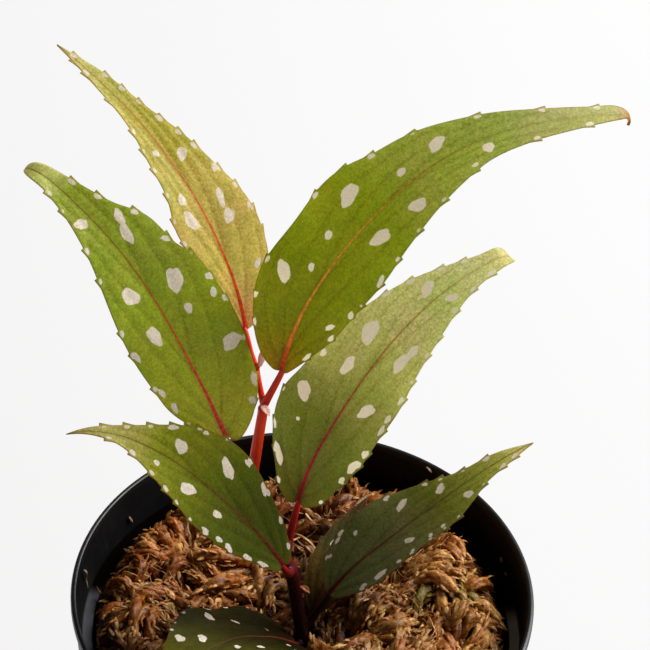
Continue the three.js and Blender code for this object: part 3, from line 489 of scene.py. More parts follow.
def leaf_paint(name, glow, gloss, underside):
    """Leaf skin: dots, veins, silver flecks and a fine red edge, all from the mesh's attributes."""
    p = Paint(name)
    skin = p.attribute("tint", "Color")
    rib_tint = p.attribute("rib_tint", "Color")
    broad = p.spread(p.noise(8, 3, 0.5), 0.36, 0.64)
    skin = p.mix(1.0, skin, p.mix(broad, (0.94, 1.0, 0.82), (1.04, 0.99, 1.08)), "MULTIPLY")
    mottle = p.spread(p.noise(2.2, 4, 0.6), 0.34, 0.66)
    skin = p.mix(1.0, skin, p.mix(mottle, (0.9, 0.93, 0.88), (1.06, 1.05, 1.06)), "MULTIPLY")
    fine = p.spread(p.noise(0.5, 3, 0.65), 0.34, 0.66)
    skin = p.mix(1.0, skin, p.mix(fine, (0.8, 0.82, 0.7), (1.14, 1.14, 1.3)), "MULTIPLY")
    dots = p.spread(p.cells(0.62), 0.3, 0.1)
    skin = p.mix(p.math("MULTIPLY", dots, 0.5), skin, p.mix(1.0, skin, (1.5, 1.45, 2.2), "MULTIPLY"))
    ragged = p.math("MULTIPLY", p.math("SUBTRACT", p.noise(0.5, 3), 0.5), 0.4)
    net = p.spread(p.net(1.9), 0.06, 0.0)
    skin = p.mix(p.math("MULTIPLY", net, 0.2), skin, p.mix(1.0, skin, (0.7, 0.5, 0.35), "MULTIPLY"))
    vein_gap = p.math("ADD", p.attribute("vein"), ragged)
    vein_tint = p.mix(1.0, skin, (0.7, 0.6, 0.35), "MULTIPLY")
    skin = p.mix(p.math("MULTIPLY", p.spread(vein_gap, 0.5, -0.1), 0.4), skin, vein_tint)
    skin = p.mix(p.math("MULTIPLY", p.spread(vein_gap, 0.08, -0.08), 0.4), skin, vein_tint)
    rib_gap = p.math("ADD", p.attribute("rib"), p.math("MULTIPLY", ragged, 0.2))
    skin = p.mix(p.math("MULTIPLY", p.spread(rib_gap, 0.6, 0.0), 0.3), skin, vein_tint)
    rib_skin = p.darken(rib_tint, p.spread(p.noise(0.8, 3), 0.35, 0.65, 0.74, 1.22))
    skin = p.mix(p.spread(rib_gap, 0.08, -0.06), skin, rib_skin)
    if underside:
        colour = p.mix(0.35, skin, linear(128, 66, 48))
        glow_colour = linear(250, 244, 216)
    else:
        silver = p.mix(p.spread(p.noise(0.4, 3), 0.36, 0.64), linear(204, 188, 170), linear(242, 230, 214))
        fleck = p.spread(p.math("ADD", p.attribute("fleck"), ragged), 0.06, -0.08)
        colour = p.mix(p.math("MULTIPLY", fleck, 0.96), skin, silver)
        glow_colour = p.mix(fleck, skin, linear(250, 242, 230))
    rim = p.spread(p.attribute("edge"), 0.22, 0.06)
    colour = p.mix(p.math("MULTIPLY", rim, 0.55), colour, linear(134, 66, 32))
    p.set(Base_Color=colour)
    p.set(Roughness=p.spread(p.noise(1.3, 3), 0.3, 0.7, 0.38, 0.5))
    p.set(IOR=gloss)
    relief = p.bump(fine, 0.05, 0.5)
    relief = p.bump(p.noise(1.6, 3), 0.16, 0.4, relief)
    p.set(Normal=relief)
    p.translucent(glow_colour, glow + 0.15 if underside else glow)
    return p.material


def pot_paint():
    """Black plastic with dust and scuffs and a shinier rim. The ledge gets no reflections; it has a grey
    painted reflection at the front, brighter to the right, and near-black painted shade at the back.
    """
    p = Paint("pot_black_plastic")
    dust = p.spread(p.noise(9, 5, 0.65), 0.45, 0.8)
    scuffs = p.spread(p.noise(2.2, 4, 0.6, stretch=(1, 1, 0.15)), 0.58, 0.8)
    colour = p.mix(p.math("MULTIPLY", dust, 0.35), linear(12, 12, 13), linear(34, 32, 30))
    colour = p.mix(p.math("MULTIPLY", scuffs, 0.2), colour, linear(52, 52, 54))
    across, along, height = p.axes()
    out = p.math("SQRT", p.math("ADD", p.math("MULTIPLY", across, across), p.math("MULTIPLY", along, along)))
    above, below = p.spread(height, 66.2 * MM, 66.6 * MM), p.spread(height, 68 * MM, 67 * MM)
    on_ledge = p.math("MULTIPLY", above, below)
    on_ledge = p.math("MULTIPLY", on_ledge, p.spread(out, 43.3 * MM, 43 * MM))
    # Painted light on the ledge: a grey painted reflection at the front, brighter to the right, and
    # near-black painted shade at the back.
    painted_ledge_reflection = p.mix(p.spread(across, -20 * MM, 20 * MM), linear(78, 78, 83), linear(150, 150, 158))
    ledge = p.mix(p.spread(along, 9 * MM, 3 * MM), linear(4, 3, 2), painted_ledge_reflection)
    colour = p.mix(on_ledge, colour, ledge)
    p.set(Base_Color=colour)
    rough = p.math("ADD", p.spread(p.noise(3, 4), 0.3, 0.7, 0.34, 0.42), p.math("MULTIPLY", dust, 0.1))
    p.set(Roughness=rough)
    shine = p.spread(height, 76 * MM, 77.6 * MM, 0.1, 0.3)
    p.set(Specular_IOR_Level=p.math("MULTIPLY", shine, p.math("SUBTRACT", 1, on_ledge)))
    relief = p.bump(p.noise(0.35, 2), 0.03, 0.5)
    p.set(Normal=p.bump(p.noise(5, 2, stretch=(1, 1, 0.2)), 0.12, 0.3, relief))
    return p.material


def stem_paint():
    """Smooth red skin with fine streaks and pale pores, a little see-through."""
    p = Paint("stem_red_skin")
    tint = p.attribute("tint", "Color")
    streaks = p.noise(0.5, 3, 0.6, stretch=(1, 1, 0.08))
    colour = p.darken(tint, p.spread(streaks, 0.3, 0.7, 0.86, 1.12))
    pores = p.spread(p.cells(1.5), 0.14, 0.08)
    colour = p.mix(p.math("MULTIPLY", pores, 0.2), colour, linear(226, 120, 80))
    p.set(Base_Color=colour)
    p.set(Roughness=p.spread(p.noise(1.4, 2), 0.3, 0.7, 0.34, 0.5))
    p.set(IOR=1.3)
    p.set(Subsurface_Weight=0.3, Subsurface_Scale=0.001)
    p.shader.inputs["Subsurface Radius"].default_value = (1.0, 0.15, 0.05)
    p.set(Normal=p.bump(streaks, 0.08, 0.5))
    return p.material


def scale_paint():
    """Dry papery skin, brown low down and pale pink above."""
    p = Paint("papery_scale_skin")
    streaks = p.noise(0.4, 3, 0.6)
    pale = p.mix(p.spread(streaks, 0.3, 0.7), linear(236, 190, 172), linear(252, 232, 220))
    brown = p.mix(p.spread(streaks, 0.3, 0.7), linear(120, 62, 26), linear(182, 112, 58))
    colour = p.mix(p.spread(p.axes()[2], 90 * MM, 110 * MM), brown, pale)
    p.set(Base_Color=colour)
    p.set(Roughness=p.spread(streaks, 0.3, 0.7, 0.4, 0.6))
    p.set(Normal=p.bump(streaks, 0.08, 0.6))
    p.translucent(colour, 0.6)
    return p.material


def moss_paint(name, bed=False):
    """Damp, mottled fibres in the mesh's own tints, which carry painted shade, or the plain dark bed under
    them.
    """
    p = Paint(name)
    fibre = p.noise(0.45, 3, 0.6)
    if bed:
        colour = p.mix(p.spread(p.noise(2.5, 4), 0.35, 0.7), linear(52, 24, 8), linear(116, 64, 24))
    else:
        colour = p.attribute("tint", "Color")
    deep = p.mix(1.0, colour, (0.74, 0.52, 0.34), "MULTIPLY")
    pale = p.mix(1.0, colour, (1.25, 1.3, 1.3), "MULTIPLY")
    colour = p.mix(p.spread(p.noise(1.4, 4, 0.6), 0.38, 0.62), deep, pale)
    colour = p.darken(colour, p.spread(fibre, 0.34, 0.66, 0.76, 1.2))
    p.set(Base_Color=colour)
    p.set(Roughness=p.spread(fibre, 0.3, 0.7, 0.24, 0.44))
    p.set(IOR=1.4)
    p.set(Normal=p.bump(fibre, 0.22, 0.7))
    if not bed:
        p.translucent(colour, 0.35)
    return p.material


# ---------------------------------------------------------------- mesh helpers

def add_piece(name, points, faces, materials, stands_for=None, attributes=None, kinds=None):
    """A mesh object from millimetres, riding on the pot."""
    mesh = bpy.data.meshes.new(name)
    mesh.from_pydata((np.asarray(points, float) * MM).tolist(), [], [tuple(f) for f in faces])
    for material in materials:
        mesh.materials.append(material)
    for key, values in (attributes or {}).items():
        values = np.asarray(values, float)
        if values.ndim == 2:
            data = mesh.attributes.new(key, "FLOAT_COLOR", "POINT").data
            rgba = np.column_stack([values, np.ones(len(values))])
            data.foreach_set("color", rgba.ravel().astype(np.float32))
        else:
            data = mesh.attributes.new(key, "FLOAT", "POINT").data
            data.foreach_set("value", values.astype(np.float32))
    if kinds is not None:
        mesh.polygons.foreach_set("material_index", np.asarray(kinds, np.int32))
    mesh.shade_smooth()
    mesh.update()
    piece = link(name, mesh)
    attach(piece, "root")
    if stands_for:
        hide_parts(stands_for)
    return piece


def bake(piece):
    """Applies a piece's modifiers to its mesh."""
    graph = bpy.context.evaluated_depsgraph_get()
    mesh = bpy.data.meshes.new_from_object(piece.evaluated_get(graph))
    old, name = piece.data, piece.data.name
    piece.modifiers.clear()
    piece.data = mesh
    bpy.data.meshes.remove(old)
    mesh.name = name
    return mesh


def ring_faces(rings, sides):
    """Faces over a stack of rings of points, with one point before the first and one after the last."""
    last = 1 + rings * sides
    top = last - sides
    faces = []
    for k in range(sides):
        n = (k + 1) % sides
        faces.append((0, 1 + n, 1 + k))
        for low in range(1, top, sides):
            faces.append((low + k, low + n, low + sides + n, low + sides + k))
        faces.append((top + k, top + n, last))
    return faces


def level_ring(radius, height, sides):
    """A level ring of points round the pot's axis."""
    angles = 2 * np.pi * np.arange(sides) / sides
    return np.column_stack([radius * np.cos(angles), radius * np.sin(angles), np.full(sides, height)])


def smooth_line(points, count):
    """Points at even distances on a smooth curve through the given ones."""
    p = np.asarray(points, float)
    if len(p) == 2:
        return p[0] + (p[1] - p[0]) * np.linspace(0, 1, count)[:, None]
    dense = []
    for i in range(len(p) - 1):
        before, after = p[max(i - 1, 0)], p[min(i + 2, len(p) - 1)]
        start, end = (p[i + 1] - before) / 2, (after - p[i]) / 2
        f = np.linspace(0, 1, 60, endpoint=i == len(p) - 2)[:, None]
        a = 2 * p[i] - 2 * p[i + 1] + start + end
        b = 3 * p[i + 1] - 3 * p[i] - 2 * start - end
        dense.append(a * f ** 3 + b * f ** 2 + start * f + p[i])
    dense = np.vstack(dense)
    run = np.concatenate([[0], np.cumsum(np.linalg.norm(np.diff(dense, axis=0), axis=1))])
    even = np.linspace(0, run[-1], count)
    return np.column_stack([np.interp(even, run, dense[:, k]) for k in range(p.shape[1])])


def tube(line, radii, sides, squash=1.0):
    """A closed round tube along the line, with a point at each end."""
    line = np.asarray(line, float)
    ahead = np.gradient(line, axis=0)
    ahead /= np.linalg.norm(ahead, axis=1)[:, None]
    seed = np.array([0, 0, 1.0]) if abs(ahead[0][2]) < 0.8 else np.array([1.0, 0, 0])
    side = np.cross(ahead[0], seed)
    points = [line[0]]
    angles = 2 * np.pi * np.arange(sides) / sides
    for i in range(1, len(line) - 1):
        side = side - ahead[i] * (side @ ahead[i])
        side /= np.linalg.norm(side)
        other = np.cross(ahead[i], side)
        ring = np.outer(np.cos(angles), side) + squash * np.outer(np.sin(angles), other)
        points.extend(line[i] + radii[i] * ring)
    points.append(line[-1])
    return np.array(points), ring_faces(len(line) - 2, sides)


class Heap:
    """Many small closed shapes gathered into one mesh, each with its tint."""

    def __init__(self):
        self.points, self.faces, self.tints, self.count = [], [], [], 0

    def add(self, points, faces, tint):
        self.faces.extend(tuple(i + self.count for i in face) for face in faces)
        self.points.append(points)
        tint = np.asarray(tint, float)
        self.tints.append(tint if tint.ndim == 2 else np.tile(tint, (len(points), 1)))
        self.count += len(points)

    def piece(self, name, material, slot, stands_for=None):
        tints = {"tint": np.vstack(self.tints)}
        return add_piece(name, np.vstack(self.points), self.faces, [material], stands_for, tints)


# ---------------------------------------------------------------- leaves

# Section of a blade, 10 mm out from the midrib: fold up, droop, and the wave along its edge.
FOLD, DROOP, WAVE_HEIGHT, WAVE_LENGTH = 0.2, 0.1, 0.4, 17


class Blade:
    """The middle surface of a leaf, the same as the solid's."""

    def __init__(self, spec):
        self.spec = spec
        self.length = spec["length"]
        steps = int(self.length * 4)
        self.walked = np.linspace(0, self.length, steps + 1)
        middle = (self.walked[1:] + self.walked[:-1]) / 2
        stride = self.ahead(middle) * (self.length / steps)
        self.midrib = np.vstack([spec["at"], np.array(spec["at"]) + np.cumsum(stride, axis=0)])

    def angle(self, key, along):
        rows = np.array(self.spec[key], float)
        return np.radians(np.interp(along, rows[:, 0], rows[:, 1]))

    def ahead(self, along):
        heading, rise = self.angle("heading", along), self.angle("rise", along)
        return np.stack([np.cos(rise) * np.cos(heading), np.cos(rise) * np.sin(heading), np.sin(rise)], -1)

    def point(self, along, across, lift=0.0):
        along, across = np.asarray(along, float), np.asarray(across, float)
        inside = np.clip(along, 0, self.length)
        place = np.stack([np.interp(inside, self.walked, self.midrib[:, k]) for k in range(3)], -1)
        ahead = self.ahead(along)
        place = place + (along - inside)[..., None] * ahead
        heading, roll = self.angle("heading", along), self.angle("roll", along)[..., None]
        level = np.stack([np.sin(heading), -np.cos(heading), 0 * heading], -1)
        upright = np.cross(level, ahead)
        right = level * np.cos(roll) + upright * np.sin(roll)
        up = upright * np.cos(roll) - level * np.sin(roll)
        out = np.abs(across)
        phase = 2 * np.pi * along / WAVE_LENGTH + np.where(across > 0, 0, 2)
        wave = WAVE_HEIGHT * (out / 10) ** 2 * np.sin(phase)
        height = FOLD * out - DROOP * out ** 2 / 10 + wave + lift
        return place + right * across[..., None] + up * height[..., None]


# Side veins of one half, as (share of the length, share of the way to the edge).
VEINS = [
    [(0, 0), (0.03, 0.3), (0.08, 0.58), (0.17, 0.76), (0.28, 0.88)],
    [(0, 0), (0.06, 0.16), (0.16, 0.34), (0.3, 0.5), (0.46, 0.66), (0.6, 0.84)],
    [(0.2, 0), (0.32, 0.16), (0.46, 0.34), (0.6, 0.54), (0.72, 0.76)],
    [(0.46, 0), (0.58, 0.18), (0.7, 0.4), (0.82, 0.66)],
]
VEIN_WIDTHS = (0.16, 0.02)
TOOTH_RISE, TOOTH_RUN, TOOTH_STEP, TOOTH_LEAN = 0.5, 2, 0.4, 0.3
ROW_STEP, PLAIN_GLOSS, FAR = 0.4, 1.33, 99.0  # a blade's rows, its usual index, and "no line near"


class Half:
    """One half of a blade: its smooth edge, its teeth and its veins."""

    def __init__(self, stations, teeth, length):
        outline = smooth_line([(0, 0), *stations], 2001)
        run = np.linalg.norm(np.diff(outline, axis=0), axis=1).sum()
        self.outline, self.length, self.run = outline, length, run
        self.shares = np.linspace(0, 1, 2001)
        slope = np.gradient(outline, axis=0)
        self.slope = slope / np.linalg.norm(slope, axis=1)[:, None]
        self.teeth = []
        for along in teeth:
            share = self.shares[np.argmax(outline[:, 0] >= along)]
            self.teeth.append((share - TOOTH_RUN / run, share, share + TOOTH_STEP / run))

    def smooth(self, share):
        return np.stack([np.interp(share, self.shares, self.outline[:, k]) for k in (0, 1)], -1)

    def direction(self, share):
        return np.stack([np.interp(share, self.shares, self.slope[:, k]) for k in (0, 1)], -1)

    def flat(self, share, part):
        """Place on the flat half-blade at a share of its length and a part of the way out."""
        rim = self.smooth(share)
        centre = self.length * share
        along = centre + (rim[..., 0] - centre) * part
        return np.stack([along, rim[..., 1] * part], -1)

    def toothed(self, share, part):
        """The same with the teeth pushed out at the edge."""
        place = self.flat(share, part)
        ahead = self.direction(share)
        weight = np.clip((part - 0.8) / 0.2, 0, 1) ** 2
        push = np.zeros(np.shape(share))
        for start, peak, end in self.teeth:
            up = np.clip((share - start) / (peak - start), 0, 1) ** 1.25
            down = np.clip((end - share) / (end - peak), 0, 1)
            push = np.maximum(push, np.where(share <= peak, up, down) * (share >= start))
        push = push * weight
        place[..., 0] += push * (TOOTH_LEAN * ahead[..., 0] - TOOTH_RISE * ahead[..., 1])
        place[..., 1] += push * (TOOTH_RISE * ahead[..., 0])
        return place


def distance_to_line(points, line, widths):
    """Distance of each point to a line of points, less the line's half width there."""
    best = np.full(len(points), FAR)
    for a, b, w0, w1 in zip(line[:-1], line[1:], widths[:-1], widths[1:]):
        step = b - a
        f = np.clip((points - a) @ step / max(step @ step, 1e-9), 0, 1)
        gap = np.linalg.norm(points - a - f[:, None] * step, axis=1) - (w0 + (w1 - w0) * f)
        best = np.minimum(best, gap)
    return best


def blotch(points, along, across, long, wide, turn, rng):
    """Signed distance to a blotch with an uneven outline."""
    turn = math.radians(turn)
    x, y = points[:, 0] - along, points[:, 1] - across
    u = (x * math.cos(turn) + y * math.sin(turn)) / long
    v = (y * math.cos(turn) - x * math.sin(turn)) / wide
    angle = np.arctan2(v, u)
    uneven = 1.0
    for waves, size in ((2, 0.05), (3, 0.08), (5, 0.06)):
        uneven = uneven + size * np.sin(waves * angle + rng.uniform(0, 6.28))
    return (np.hypot(u, v) - uneven) * math.sqrt(long * wide) * 0.9


def colour_along(rows, share):
    rows = np.array([[row[0], *linear(*row[1:])] for row in rows])
    return np.column_stack([np.interp(share, rows[:, 0], rows[:, k]) for k in (1, 2, 3)])


def blade_grid(halves, shares, parts):
    """Flat places over both halves of a blade, row by row, and then its base and its tip.

    After the places come the numbers of rows and columns, and for each place its share of the
    length and its part of the way out to the edge.
    """
    share_grid, part_grid = np.meshgrid(shares, parts, indexing="ij")
    columns = []
    for side, half in halves.items():
        place = half.toothed(share_grid, part_grid)
        place[..., 1] *= side
        columns.append(place[:, ::-1][:, :-1] if side < 0 else place)
    flat = np.concatenate(columns, axis=1)
    rows, wide = flat.shape[:2]
    part = np.concatenate([part_grid[:, ::-1][:, :-1], part_grid], axis=1)
    places = np.vstack([flat.reshape(-1, 2), [0, 0], [halves[1].length, 0]])
    share = np.concatenate([np.repeat(shares, wide), [0, 1]])
    return places, rows, wide, share, np.concatenate([part.ravel(), [0, 0]])


def blade_faces(rows, wide):
    """Faces of a blade's upper skin, lower skin and rim, and the kind of each: 1 for the lower."""
    base, tip = rows * wide, rows * wide + 1
    count, last = tip + 1, (rows - 1) * wide
    upper = []
    for c in range(wide - 1):
        upper.append((base, c + 1, c))
        upper.append((tip, last + c, last + c + 1))
        for a in range(c, last, wide):
            upper.append((a, a + 1, a + 1 + wide, a + wide))
    lower = [tuple(i + count for i in reversed(face)) for face in upper]
    loop = [base, *range(0, base, wide), tip, *range(base - 1, 0, -wide)]
    rim = [(here, there, there + count, here + count) for here, there in zip(loop, loop[1:] + loop[:1])]
    return upper + lower + rim, [0] * len(upper) + [1] * len(lower) + [0] * len(rim)


def blade_halves(spec, with_teeth=True):
    sides = ((-1, "left"), (1, "right"))
    return {side: Half(spec[key], spec[key + "_teeth"] if with_teeth else [], spec["length"])
            for side, key in sides}


def vein_gaps(places, halves, rng):
    """Distance of each place to the edge of the nearest side vein."""
    gaps = np.full(len(places), FAR)
    for side, half in halves.items():
        on_side = places[:, 1] * side >= 0
        for line in VEINS:
            shift = rng.uniform(-0.02, 0.02) + (0.025 if side > 0 else 0)
            path = np.array(line, float)
            if line[0][0] > 0:
                path[:, 0] += shift
            path = smooth_line(path, 14)
            path = half.flat(np.clip(path[:, 0], 0, 1), path[:, 1])
            path[:, 1] *= side
            gap = distance_to_line(places[on_side], path, np.linspace(*VEIN_WIDTHS, len(path)))
            gaps[on_side] = np.minimum(gaps[on_side], gap)
    return gaps


def fleck_gaps(places, halves, spec, rng):
    """Distance of each place to the edge of the nearest silver fleck."""
    gaps = np.full(len(places), FAR)
    for row in spec["flecks"]:
        gaps = np.minimum(gaps, blotch(places, *row, rng))
    for side, half in halves.items():
        for _, peak, _ in half.teeth:
            size = rng.uniform(0.4, 0.85)
            if rng.random() > spec.get("rim_flecks", 0.88):
                continue
            ahead = half.direction(peak)
            inward = np.array([ahead[1], -ahead[0]])
            along, out = half.smooth(peak) + inward * (0.15 + 0.3 * size) - ahead * 0.4
            turn = math.degrees(math.atan2(ahead[1] * side, ahead[0]))
            spot = blotch(places, along, out * side, size, size * 0.55, turn, rng)
            gaps = np.minimum(gaps, spot)
    return gaps


def add_leaf(name, spec):
    rng = random.Random(name)
    blade = Blade(spec)
    halves = blade_halves(spec)
    shares = list(np.linspace(0, 1, int(spec["length"] / ROW_STEP) + 1)[1:-1])
    for half in halves.values():
        for tooth in half.teeth:
            shares.extend(tooth)
    shares = np.array(sorted(s for s in shares if 0.002 < s < 0.998))
    shares = shares[np.concatenate([[True], np.diff(shares) > 0.0012])]
    parts = np.concatenate([np.linspace(0, 0.9, 24), [0.935, 0.965, 0.985, 1.0]])
    places, rows, wide, share, part = blade_grid(halves, shares, parts)
    along, across = places[:, 0], places[:, 1]

    vein = vein_gaps(places, halves, rng)
    rib = np.abs(across) - (0.06 + 0.15 * (1 - share) + 0.3 * np.exp(-share / 0.12))
    fleck = fleck_gaps(places, halves, spec, rng)
    edge = (1 - part) * np.maximum(np.abs(across) / np.maximum(part, 0.05), 0.3)
    # The tints carry painted shade towards the base and a painted pale sheen towards the tip, besides the
    # blade's own colour.
    tint = colour_along(spec["tints"], share) * (1 + 0.12 * np.clip(part - 0.6, 0, 1))[:, None]
    rib_tint = colour_along(spec["ribs"], share)

    near = np.clip(vein, 0, 9)
    quilt = 0.12 * (1 - np.exp(-near / 1.5)) - 0.04 * np.exp(-(near / 0.5) ** 2)
    quilt = quilt + 0.14 * np.exp(-(across / 0.32) ** 2) * (1 - share)
    quilt = quilt * np.clip((1 - part) / 0.15, 0, 1)
    thick = 0.2 - 0.1 * part
    keel_width = 0.35 + 0.25 * (1 - share)
    keel = (0.15 + 0.75 * (1 - share) ** 2) * np.exp(-(across / keel_width) ** 2)
    ridges = 0.16 * np.exp(-(near / 0.3) ** 2) * np.clip((1 - part) / 0.2, 0, 1)
    top = blade.point(along, across, thick + quilt)
    bottom = blade.point(along, across, -thick + quilt * 0.8 - keel - ridges)

    faces, kinds = blade_faces(rows, wide)
    skins = [leaf_paint(name + "_upper_skin", spec["glow"], spec.get("gloss", PLAIN_GLOSS), False),
             leaf_paint(name + "_lower_skin", spec["glow"], PLAIN_GLOSS, True)]
    values = {"tint": tint, "rib_tint": rib_tint, "vein": vein, "rib": rib, "fleck": fleck, "edge": edge}
    values = {key: np.concatenate([value, value]) for key, value in values.items()}
    add_piece(name + "_blade", np.vstack([top, bottom]), faces, skins, name, values, kinds)
    return blade


def add_scale(name, spec, material):
    blade = Blade(spec)
    shares, parts = np.linspace(0, 1, 26)[1:-1], np.linspace(0, 1, 9)
    places, rows, wide, _, _ = blade_grid(blade_halves(spec, False), shares, parts)
    along, across = places[:, 0], places[:, 1]
    crinkle = 0.12 * np.sin(along * 3.1) * np.sin(across * 4.3)
    skins = [blade.point(along, across, crinkle + half) for half in (0.1, -0.1)]
    faces, _ = blade_faces(rows, wide)
    add_piece(name + "_scale", np.vstack(skins), faces, [material], name)


# ---------------------------------------------------------------- stem and bud

def add_stem(blades):
    """The stem and its stalks, run under the base of each blade and melted into one skin."""
    heap = Heap()
    line = smooth_line(STEM_ROUTE, 120)
    radii = np.interp(line[:, 2], [p[2] for p in STEM_ROUTE], STEM_RADII)
    for joint in STEM_JOINTS:
        gap = np.linalg.norm(line - np.array(joint), axis=1)
        radii = radii * (1 + 0.2 * np.exp(-(gap / 1.1) ** 2))
    heap.add(*tube(line, radii, 20), (0, 0, 0))
    for leaf, route, widths in STALKS:
        route = list(route)
        widths = list(widths)
        if leaf:
            blade = blades[leaf]
            for along, drop, width in ((1.2, 0.55, 0.62), (3.4, 0.5, 0.4), (6, 0.38, 0.2)):
                route.append(tuple(blade.point(np.array([along]), np.array([0.0]), -drop)[0]))
                widths.append(width * widths[2] / 0.7)
        line = smooth_line(route, 60)
        radii = np.interp(np.linspace(0, 1, 60), np.linspace(0, 1, len(widths)), widths)
        heap.add(*tube(line, radii, 16), (0, 0, 0))
    skin = stem_paint()
    stem = add_piece("stem_and_stalks", np.vstack(heap.points), heap.faces, [skin], "stem")
    bpy.context.view_layer.objects.active = stem
    remesh = stem.modifiers.new("join", "REMESH")
    remesh.mode = "VOXEL"
    remesh.voxel_size = 0.16 * MM
    smooth = stem.modifiers.new("soften", "SMOOTH")
    smooth.factor = 0.5
    smooth.iterations = 6
    joined = bake(stem)
    if not joined.materials:
        joined.materials.append(skin)
    joined.shade_smooth()
    place = np.empty(len(joined.vertices) * 3)
    joined.vertices.foreach_get("co", place)
    # Tint by height, with painted shade on the low stem.
    tint = colour_along(STEM_TINTS, place[2::3] / MM)
    rgba = np.column_stack([tint, np.ones(len(tint))]).astype(np.float32)
    joined.attributes.new("tint", "FLOAT_COLOR", "POINT").data.foreach_set("color", rgba.ravel())


def add_bud(material):
    """The closed tip bud, with three sheaths wrapped round it."""
    heap = Heap()
    line = smooth_line([(-9.6, 5.5, 130.2), (-9.4, 5.5, 132), (-9, 5.7, 134.6)], 24)
    f = np.linspace(0, 1, 24)
    radii = 0.78 * np.sin(np.pi * np.clip(f * 0.9 + 0.1, 0, 1)) ** 0.8
    heap.add(*tube(line, radii, 14, 0.8), linear(196, 150, 90))
    g = np.linspace(0, 1, 14)
    for turn in (0, 2.2, 4.1):
        offset = np.array([math.cos(turn), math.sin(turn), 0]) * 0.35
        top = line[20] + offset * 0.9 + (0, 0, 0.4)
        wrap = smooth_line([line[0] + offset * 0.4, line[10] + offset * 1.5, top], 14)
        radii = 0.42 * np.sin(np.pi * np.clip(g * 0.95 + 0.05, 0, 1))
        heap.add(*tube(wrap, radii, 8, 0.45), linear(214, 128, 96))
    heap.piece("bud_sheath", material, "papery_scale", "bud")


# ---------------------------------------------------------------- pot

def add_pot():
    """The pot, turned from its profile, with the drain holes cut through its base."""
    rings = [level_ring(radius, height, POT_SIDES) for radius, height in POT_PROFILE[1:-1]]
    under, inside = ([[0, 0, POT_PROFILE[i][1]]] for i in (0, -1))
    points = np.vstack([under, *rings, inside])
    faces = ring_faces(len(rings), POT_SIDES)
    pot = add_piece("pot_shell", points, faces, [pot_paint()], "pot")
    cutters = []
    for i in range(POT_HOLES):
        a = 2 * math.pi * (i + 0.5) / POT_HOLES
        x, y = POT_HOLE_CIRCLE * math.cos(a), POT_HOLE_CIRCLE * math.sin(a)
        line = [(x, y, z) for z in (-3, -2.9, 4, 4.1)]
        shape, sides = tube(line, [0, POT_HOLE_RADIUS, POT_HOLE_RADIUS, 0], 40)
        mesh = bpy.data.meshes.new("hole")
        mesh.from_pydata((shape * MM).tolist(), [], sides)
        cutters.append(link("hole", mesh))
        cut = pot.modifiers.new("hole", "BOOLEAN")
        cut.operation = "DIFFERENCE"
        cut.solver = "EXACT"
        cut.object = cutters[-1]
    drilled = bake(pot)
    for cutter in cutters:
        mesh = cutter.data
        bpy.data.objects.remove(cutter)
        bpy.data.meshes.remove(mesh)
    drilled.set_sharp_from_angle(angle=math.radians(38))


# ---------------------------------------------------------------- moss

def wall_radius(height):
    """Inside of the pot: its tapered body, and the wider collar above the ledge."""
    body = 30 + 11 * np.minimum(height, LEDGE_HEIGHT) / LEDGE_HEIGHT
    return np.where(np.asarray(height) > LEDGE_HEIGHT + 0.4, 42.9, body)


def moss_height(x, y):
    """The same mound as the solid's."""
    radius = np.hypot(x, y)
    wall = float(wall_radius(MOSS_EDGE))
    inward = np.clip((wall - radius) / 8, 0, 1)
    lumps = np.sin(x * 0.42 + 1.3) * np.cos(y * 0.37) + 0.6 * np.sin(x * 0.21 - y * 0.55)
    rise = MOSS_CROWN - MOSS_EDGE + 2 * (x / wall) ** 2 + lumps
    hollow = np.exp(-((radius / 10) ** 2)) * 8.5
    return MOSS_EDGE + rise * np.sin(inward * np.pi / 2) - hollow


def add_moss_bed():
    """The dark, matted mass under the loose strands."""
    rings = [level_ring(30.1, 1.6, BED_SPOKES), level_ring(39.4, 60, BED_SPOKES)]
    for radius in np.linspace(BED_RADIUS, 0, BED_RINGS + 1)[:-1]:
        level = level_ring(radius, 0, BED_SPOKES)
        x, y = level[:, 0], level[:, 1]
        rough = 0.5 * np.sin(x * 2.1 + y) * np.cos(y * 1.9) + 0.35 * np.sin(x * 4.7 - y * 3.1)
        level[:, 2] = moss_height(x, y) - BED_DEPTH + rough
        rings.append(level)
    points = np.vstack([[[0, 0, 1.6]], *rings, [[0, 0, moss_height(0, 0) - BED_DEPTH]]])
    faces = ring_faces(len(rings), BED_SPOKES)
    add_piece("moss_bed", points, faces, [moss_paint("moss_bed_fibre", True)], "moss")


# Share of the strands and their colour.
MOSS_TINTS = [
    (0.32, (174, 102, 34)), (0.24, (182, 120, 48)), (0.2, (208, 164, 96)), (0.14, (148, 76, 24)),
    (0.1, (110, 54, 18)),
]
# Places of painted shade on the moss, round the stem and under the leaves.
PAINTED_SHADE_PLACES = [(0, 0, 11, 0.8), (4, 20, 10, 0.72), (-29, -17, 13, 0.6)]  # x, y, reach and share
MOSS_GREEN, MOSS_TIP = (124, 112, 34), (226, 186, 124)
GREEN_PLACES = [(-30, 0.5, 3.5), (-25, -1, 3), (-27, -6, 3), (30, 6, 3)]  # x, y and reach


def moss_tint(rng):
    pick = rng.random()
    for share, colour in MOSS_TINTS:
        if pick < share:
            break
        pick -= share
    return np.array(linear(*colour)) * rng.uniform(0.75, 1.2)


def painted_shade(x, y):
    """How much darker the moss is painted at a place: painted shade round the stem and in a few spots under
    the leaves.
    """
    return max(share * math.exp(-((x - px) ** 2 + (y - py) ** 2) / reach ** 2)
               for px, py, reach, share in PAINTED_SHADE_PLACES)


SCALE_LENGTH, SCALE_HALF_WIDTH, SCALE_STEP = 3, 0.75, 0.42  # of the leaflets that sheathe a strand
STRAND_RINGS, STRAND_SIDES = 48, 18


